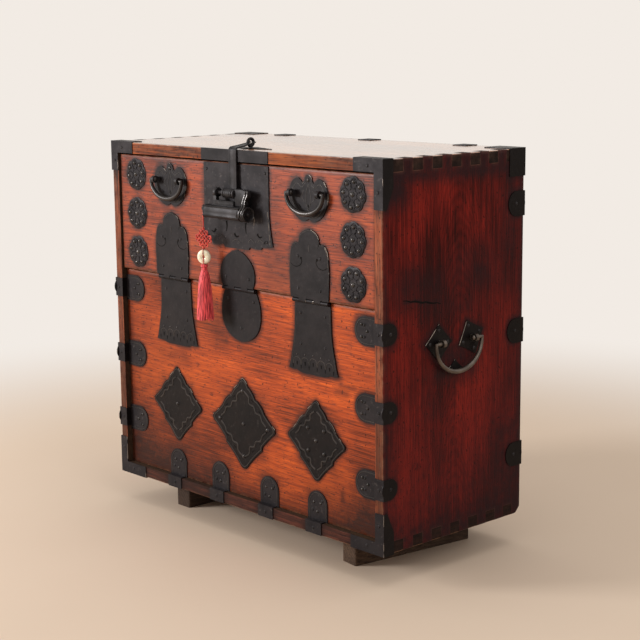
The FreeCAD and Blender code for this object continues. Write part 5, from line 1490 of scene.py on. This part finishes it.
@dataclass
class Padlock:
    """The bar padlock: staple rings and hasp that its bar passes through, case and bolt."""

    finishes: Finishes
    bar: Vector = field(default_factory=lambda: Vector((0, FRONT_Y - 11, TOP_Z - 80)))
    tube: Vector = field(default_factory=lambda: Vector((0, FRONT_Y - 14, TOP_Z - 116)))
    ring_x: float = 14.5
    ring_half_wide: float = 2.5
    fin_top: float = TOP_Z - 94

    def build(self) -> None:
        """Builds the hasp, the rings, the case and the bolt."""
        self.hasp()
        self.rings()
        self.case()
        self.bolt()

    def slab(self, mesh: bmesh.types.BMesh, points: Sequence[Flat], front: float, rear: float,
             bevel: float) -> None:
        """Cuts a flat piece with an outline in X and Z and softens its front arris.

        Args:
            mesh: The mesh that gets the piece.
            points: (x, z) corners, counter-clockwise.
            front: Its front face's y.
            rear: Its rear face's y.
            bevel: How far the front arris is rounded.
        """
        middle = sum((Vector(point) for point in points), Vector((0, 0))) / len(points)
        loops = []
        for y, inset in ((front, bevel), (front + bevel * 0.3, bevel * 0.3), (front + bevel, 0.0),
                         (rear, 0.0)):
            aways = [Vector(point) - middle for point in points]
            flats = [middle + away * (1 - inset / max(away.length, 1)) for away in aways]
            loops.append([Vector((flat.x, y, flat.y)) for flat in flats])
        skin(mesh, loops, first_cap=True, last_cap=True)

    def hasp(self) -> None:
        """Builds the hasp: a strap with raised edges, forked behind and rolled to an eye below."""
        mesh = bmesh.new()
        y, top = FRONT_Y - 3.5, TOP_Z
        line = smooth_path([(y, self.bar.z + 8), (y, top - 30), (y, top - 6), (y + 1.2, top + 1.6),
                            (y + 7, top + 4.2), (y + 20, top + 5.8), (y + 34, top + 8.2),
                            (y + 40, top + 9.2)], False, 5)
        loops = []
        for index, point in enumerate(line):
            ahead = line[min(index + 1, len(line) - 1)] - line[max(index - 1, 0)]
            out = Vector((0, -ahead.y, ahead.x)).normalized()
            wide = 11 - 2.2 * max(0.0, (point.x - y - 10) / 30)
            right = [(wide - 3.4, 0.8), (wide - 2.2, 1.5), (wide - 0.8, 1.5), (wide, 0.9), (wide, -1.2)]
            section = [(-x, high) for x, high in reversed(right)] + [(0, 1.1)] + right
            loops.append([Vector((x, point.x, point.y)) + out * high for x, high in section])
        skin(mesh, loops, first_cap=True, last_cap=True)
        for side, _ in SIDES:
            arm = [Vector((side * 6.6, y + 39 + 1.1 * step, top + 9.1 + 0.25 * step)) for step in range(12)]
            sweep(mesh, arm, [2.3] * 11 + [1.2], flatten=0.6, normal=UP)
        turned(mesh, ((-10.8, 4.1), (-10.8, 8.2), (-10.2, 8.9), (-7.5, 9.0), (-6.8, 8.4), (-6.1, 9.0),
                      (6.1, 9.0), (6.8, 8.4), (7.5, 9.0), (10.2, 8.9), (10.8, 8.2), (10.8, 4.1)),
               self.bar, RIGHT, REAR)
        bmesh.ops.recalc_face_normals(mesh, faces=mesh.faces)
        make_piece("forged_hasp", mesh, "hasp", self.finishes.fitting, ("hasp",))

    def rings(self) -> None:
        """Builds the two staple rings that flank the hasp's eye."""
        mesh = bmesh.new()
        half = self.ring_half_wide
        for side, _ in SIDES:
            middle = self.bar + RIGHT * side * self.ring_x
            turned(mesh, ((-half, 4.1), (-half, 8.3), (0.8 - half, 9.0), (half - 0.8, 9.0), (half, 8.3),
                          (half, 4.1)), middle, RIGHT, REAR)
            neck = [middle + REAR * (7.65 + step * 1.85) for step in range(4)]
            sweep(mesh, neck, 4.5, 10, flatten=0.55, normal=RIGHT)
        bmesh.ops.recalc_face_normals(mesh, faces=mesh.faces)
        make_piece("forged_staple_rings", mesh, "flap", self.finishes.fitting, ("staple_rings",))

    def case(self) -> None:
        """Builds the padlock's case: a moulded body, a fin, a lug for the bar and an eye."""
        mesh = bmesh.new()
        y, z, top = self.tube.y, self.tube.z, self.fin_top
        section = ((-9.0, 11.2), (-11.2, 11.6), (-12.4, 10.4), (-11.8, 8.6), (-12.5, 7.2), (-12.6, 0.0),
                   (-12.2, -5.6), (-12.9, -6.8), (-12.2, -8.2), (-10.4, -10.2), (-7.0, -11.9), (0.0, -12.5),
                   (7.0, -11.2), (11.2, -7.0), (12.2, 0.0), (11.0, 7.4), (7.0, 11.0), (0.0, 12.4))
        loops = [[Vector((x, y + deep * share, z + up * share)) for deep, up in section] for x, share in (
            (-64, 0.9), (-63.4, 1.04), (-61.5, 1.04), (-61, 1.0), (10, 1.0), (40, 1.0), (40, 0.72))]
        skin(mesh, loops, first_cap=True)
        lug = self.bar.z - 6
        self.slab(mesh, ((-42, z + 6), (16.5, z + 6), (16.5, top), (-33, top), (-34, top + 3), (-34, lug),
                         (-42, lug)), y - 3.9, y + 4, 0.8)
        turned(mesh, ((-42, 4.1), (-42, 8.4), (-41.2, 9.0), (-34.8, 9.0), (-34, 8.4), (-34, 4.1)),
               self.bar, RIGHT, REAR)
        for bead_z in (top - 1.4, z + 14.5):
            sweep(mesh, [Vector((x, y - 3.9, bead_z)) for x in (-41, -12, 15.5)], 0.8, 6, flatten=0.8,
                  normal=FRONT)
        eye = Vector((TASSEL_X, TASSEL_Y, z + 4))
        sweep(mesh, circle(eye, RIGHT, UP, 3, 16), 0.95, closed=True)
        sweep(mesh, [eye + RIGHT * far for far in (2.6, 4.2, 6)], 1.5)
        bmesh.ops.recalc_face_normals(mesh, faces=mesh.faces)
        make_piece("moulded_lock_case", mesh, "lock_case", self.finishes.fitting, ("lock_case",))

    def bolt(self) -> None:
        """Builds the bolt: its bar, a scrolled head, the end cap with a boss and the springs."""
        mesh = bmesh.new()
        bar, tube = self.bar, self.tube
        sweep(mesh, [bar + RIGHT * x for x in (-40, -38, 0, 30)], [2.2, 3.7, 3.7, 3.7], 16)
        head = ((17.2, -22.6), (46, -22.6), (48, -18), (46.5, -13), (50, -9), (54.4, -5), (55.4, 0),
                (53.6, 5.6), (48, 7), (40, 8.4), (30, 9), (17.2, 9))
        self.slab(mesh, [(x, bar.z + up) for x, up in head], bar.y - 3.9, bar.y + 3.6, 0.9)
        self.scrolls()
        turned(mesh, ((34.2, 13.0), (34.2, 13.6), (35, 14.2), (37.5, 14.2), (38.2, 13.4), (49, 13.3),
                      (50, 14.2), (54, 14.2), (55, 13.4), (55.2, 11.8), (54.4, 11.0), (50.6, 10.4),
                      (50.6, 0.05), (49.6, 0.05), (49.6, 12.9)), tube, RIGHT, REAR, 40)
        dome(mesh, tube + RIGHT * 50.5, RIGHT, 4.6, 6.6)
        for place in circle(tube + RIGHT * 55, REAR, UP, 12.6, 8):
            dome(mesh, place, RIGHT, 1.0, 0.8, 8, 3)
        sweep(mesh, [tube + RIGHT * x for x in (-40, -38, 0, 51)], [3, 6, 6, 6], 4, flatten=0.25, normal=REAR)
        for side, _ in SIDES:
            leaf = [tube + Vector((6 * step - 40, side * (1.5 + 0.63 * step), 0)) for step in range(7)]
            sweep(mesh, leaf, 4.0, 4, flatten=0.12, normal=REAR)
        bmesh.ops.recalc_face_normals(mesh, faces=mesh.faces)
        make_piece("scrolled_lock_bolt", mesh, "lock_bolt", self.finishes.fitting, ("lock_bolt",))

    def scrolls(self) -> None:
        """Builds the two curled arms on the bolt's head and a bright ring on the rim of its end cap, rubbed
        iron with a painted highlight.
        """
        rubbed = bmesh.new()
        for x, front in ((47.5, -5.2), (53.4, -4.6)):
            arm = [self.bar + Vector((x + aside, front + deep, up)) for aside, deep, up in (
                (-3, 2.5, 7.5), (1, 0.5, 5), (2.6, -1.5, -1), (-0.5, -2.4, -7.5), (-2.6, -3.4, -14),
                (-0.6, -5.6, -20), (-1.6, -8.6, -25.5), (-3.2, -11.2, -31), (-3.4, -12.2, -37),
                (-2.6, -11.0, -42.5))]
            sweep(rubbed, arm, [0.8, 1.2, 1.5, 1.3, 1.3, 1.4, 1.4, 1.3, 1.2, 0.7])
        # painted highlight: a bright ring laid over the end cap's rim
        sweep(rubbed, circle(self.tube + RIGHT * 54.4, REAR, UP, 13.2, 32), 0.9, 6, closed=True)
        make_piece("lock_bolt_scrolls", rubbed, "lock_bolt", self.finishes.stud)


@dataclass
class Tassel:
    """What hangs from the padlock: a cord, a woven knot, a ring bead and a fringe."""

    finishes: Finishes
    x: float = TASSEL_X
    y: float = TASSEL_Y
    cord_top: float = 633.6
    cord_end: float = 602.1
    knot_low: float = 560.1
    bead_low: float = 532.1
    fringe_low: float = 423.1
    bead_turn: float = 24.0
    knot_lines: int = 5
    knot_pitch: float = 6.3
    strands: int = 36

    def build(self) -> None:
        """Builds the cord and everything on it."""
        cord = self.hanging_cord()
        knot = self.knot()
        self.bead()
        self.fringe()

    def hanging_cord(self) -> bpy.types.Object:
        """Builds the short cord between the padlock's eye and the knot.

        Returns:
            The cord.
        """
        curve = bpy.data.curves.new("hanging_cord", "CURVE")
        curve.dimensions = "3D"
        curve.bevel_depth = 1.2 * MM
        curve.bevel_resolution = 3
        spline = curve.splines.new("NURBS")
        spline.points.add(3)
        for point, share in zip(spline.points, (0, 1 / 3, 2 / 3, 1)):
            drop = self.cord_top + (self.cord_end - self.cord_top) * share
            point.co = (self.x * MM, self.y * MM, drop * MM, 1)
        spline.order_u = 3
        spline.use_endpoint_u = True
        cord = bpy.data.objects.new("hanging_cord", curve)
        bpy.context.scene.collection.objects.link(cord)
        curve.materials.append(self.finishes.cord)
        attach(cord, "tassel")
        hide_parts("tassel_cord")
        LOG.info("hanging_cord: a cord on tassel")
        return cord

    def knot(self) -> bpy.types.Object:
        """Weaves the diamond knot from two snaking cords that pass over and under.

        Returns:
            The knot.
        """
        mesh = bmesh.new()
        pitch = self.knot_pitch
        reach = pitch * (self.knot_lines - 1) / 2
        middle = Vector((self.x, self.y, (self.cord_end + self.knot_low) / 2))
        # the weave is drawn out to 1.15 of its height
        diagonals = [Vector((x, 0, 1)) / math.sqrt(2) for x in (1.15, -1.15)]
        for lift, (along, across) in ((1.5, diagonals), (-1.5, diagonals[::-1])):
            path: list[Vector] = []
            for line in range(self.knot_lines):
                offset = pitch * line - reach
                way = 1 if line % 2 == 0 else -1
                for step in range(25):
                    run = way * (reach + 1.2) * (step / 12 - 1)
                    weave = REAR * lift * way * math.cos(math.pi * (run + reach) / pitch)
                    path.append(middle + along * run + across * offset + weave)
                if line < self.knot_lines - 1:
                    for step in range(1, 8):
                        turn = math.pi * step / 8
                        path.append(middle + along * way * (reach + 1.2 + pitch / 2 * math.sin(turn))
                                    + across * (offset + pitch / 2 * (1 - math.cos(turn))))
            sweep(mesh, path, 1.2)
        for high, low in ((self.cord_end, middle.z + 17), (middle.z - 17, self.knot_low)):
            for side, _ in SIDES:
                strand = [Vector((self.x + side * 0.9 * math.cos(step * 0.9),
                                  self.y + side * 0.9 * math.sin(step * 0.9),
                                  high + (low - high) * step / 8)) for step in range(9)]
                sweep(mesh, strand, 1.0, 7)
        return make_piece("woven_diamond_knot", mesh, "tassel", self.finishes.cord, ("tassel_knot",))

    def bead(self) -> None:
        """Turns the flat ring bead, with the cord that runs over it to its hole."""
        turn = math.radians(self.bead_turn)
        facing = Vector((math.sin(turn), -math.cos(turn), 0))
        centre = Vector((self.x, self.y, (self.knot_low + self.bead_low) / 2))
        half = [(2.2, 2.6), (3.6, 4.2), (4.1, 8.0), (3.6, 11.5), (2.2, 13.4)]
        profile = half + [(0.0, 14.0)] + [(-high, far) for high, far in reversed(half)]
        mesh = bmesh.new()
        turned(mesh, profile, centre, facing, UP.cross(facing), 40)
        bmesh.ops.recalc_face_normals(mesh, faces=mesh.faces)
        make_piece("flat_ring_bead", mesh, "tassel", self.finishes.bead, ("tassel_bead",))
        thread = bmesh.new()
        for end in (1, -1):
            run = [centre + UP * end * up + facing * out
                   for up, out in ((14.2, 0.5), (12.8, 3.6), (8, 4.8), (4, 4.4), (1.6, 2.0), (0.6, 0.0))]
            sweep(thread, run, 0.8, 7)
        make_piece("bead_thread", thread, "tassel", self.finishes.cord)

    def fringe(self) -> None:
        """Builds the bound neck and the skirt of separate strands."""
        mesh = bmesh.new()
        top = self.bead_low
        long = top - self.fringe_low
        turned(mesh, ((0.2, 1.5), (0.6, 5.6), (1.6, 6.9), (4.6, 7.0), (5.6, 5.4), (7, 4.6), (8.6, 5.6),
                      (10.6, 5.6), (12, 4.8), (15, 7.6), (30, 11.0), (62, 13.2), (long - 8, 14.0),
                      (long - 7, 2.0)), Vector((self.x, self.y, top)), -UP, RIGHT, 24, hollow=False)
        for strand in range(self.strands):
            turn = 2 * math.pi * strand / self.strands
            seed = noise.noise(Vector((strand * 1.7, 2.3, 0.1)))
            other = noise.noise(Vector((strand * 2.9, 7.1, 4.4)))
            fall = long - 3.5 - 3.5 * other
            path, radii = [], []
            for step in range(9):
                share = step / 8
                spread = 1 - math.exp(-share * 9)
                far = 4.6 + (5.0 + 0.8 * seed) * spread + (5.6 + 1.0 * other) * share
                wave = turn + 0.06 * math.sin(share * 7 + strand) + 0.14 * seed * share
                path.append(Vector((self.x + far * math.cos(wave), self.y + far * math.sin(wave),
                                    top - 11 - (fall - 11) * share)))
                radii.append(0.9 + 0.5 * share)
            sweep(mesh, path, radii, 6)
        bmesh.ops.recalc_face_normals(mesh, faces=mesh.faces)
        make_piece("bound_silk_fringe", mesh, "tassel", self.finishes.fringe, ("tassel",))


# ------------------------------------------------------------------------ the studio
@dataclass(frozen=True)
class Studio:
    """The pale floor, the soft lamps, the world and the camera. Places are in metres."""

    camera_at: Point = (2.1771775, -1.9655645, 0.9446279)
    right: Point = (0.67929615, 0.73379219, -0.01028392)
    up: Point = (-0.12535084, 0.12982614, 0.98358138)
    forward: Point = (-0.72307946, 0.66685395, -0.18017187)
    lens_mm: float = 85.546
    sensor_mm: float = 36.0
    floor_half: float = 12.0

    def build(self) -> None:
        """Sets up the whole studio."""
        self.camera()
        self.world()
        self.floor()
        self.lamp("key_window", (-2.3, -2.9, 1.35), (0.0, -0.1, 0.42), 1.1, 125)
        self.lamp("side_fill", (3.4, -0.6, 2.2), (0.3, 0.0, 0.4), 2.2, 26)
        self.lamp("top_fill", (0.2, 0.2, 3.4), (0, 0, 0.4), 2.6, 30)
        bpy.context.scene.view_settings.view_transform = "Standard"

    def camera(self) -> None:
        """Places the camera, which looks down a little at the front right corner."""
        data = bpy.data.cameras.new("studio_camera")
        data.sensor_width = self.sensor_mm
        data.lens = self.lens_mm
        data.clip_start = 0.05
        camera = bpy.data.objects.new("studio_camera", data)
        bpy.context.scene.collection.objects.link(camera)
        turn = Matrix((self.right, self.up, -Vector(self.forward))).transposed().to_4x4()
        camera.matrix_world = Matrix.Translation(self.camera_at) @ turn
        bpy.context.scene.camera = camera

    def world(self) -> None:
        """Lights the room softly; what the camera and gloss see is a pale wall."""
        world = bpy.data.worlds.new("soft_room")
        bpy.context.scene.world = world
        world.use_nodes = True
        world.node_tree.nodes.clear()
        add = partial(add_node, world.node_tree)
        path = add("LightPath")
        gloss = add("Math", {"operation": "ADD"}, {
            0: path.outputs["Is Glossy Ray"], 1: path.outputs["Is Transmission Ray"]})
        seen = add("Math", {"operation": "ADD", "use_clamp": True}, {
            0: path.outputs["Is Camera Ray"], 1: gloss})
        room = add("Background", inputs={"Color": linear("#fff8f0"), "Strength": 0.55})
        wall = add("Background", inputs={"Color": linear("#f2ebe4"), "Strength": 1.0})
        add("OutputWorld", inputs={"Surface": add("MixShader", inputs={0: seen, 1: room, 2: wall})})

    def floor(self) -> None:
        """Lays the flat floor, wide enough for its far edges to be lost in the wall."""
        mesh = bmesh.new()
        bmesh.ops.create_grid(mesh, x_segments=2, y_segments=2, size=self.floor_half)
        data = bpy.data.meshes.new("studio_floor")
        mesh.to_mesh(data)
        mesh.free()
        floor = bpy.data.objects.new("studio_floor", data)
        bpy.context.scene.collection.objects.link(floor)
        data.materials.append(StudioFloor().build())

    def lamp(self, name: str, at: Point, aim: Point, size: float, watts: float) -> None:
        """Hangs one soft square lamp.

        Args:
            name: The lamp's name.
            at: Where it hangs.
            aim: The point that it faces.
            size: Its side.
            watts: Its power.
        """
        data = bpy.data.lights.new(name, "AREA")
        data.size = size
        data.energy = watts
        lamp = bpy.data.objects.new(name, data)
        bpy.context.scene.collection.objects.link(lamp)
        lamp.location = at
        lamp.rotation_euler = (Vector(aim) - Vector(at)).to_track_quat("-Z", "Y").to_euler()


def main() -> None:
    """Builds the chest on its frame and sets up the studio."""
    logging.basicConfig(level=logging.INFO, format="%(message)s")
    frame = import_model()
    finishes = Finishes()
    Studio().build()
    Tassel(finishes).build()
    Case(finishes, frame["nodes"]).build()
    Ironwork(finishes, frame["nodes"]).build()
    Handles(finishes).build()
    Padlock(finishes).build()


if __name__ == "__main__":
    main()
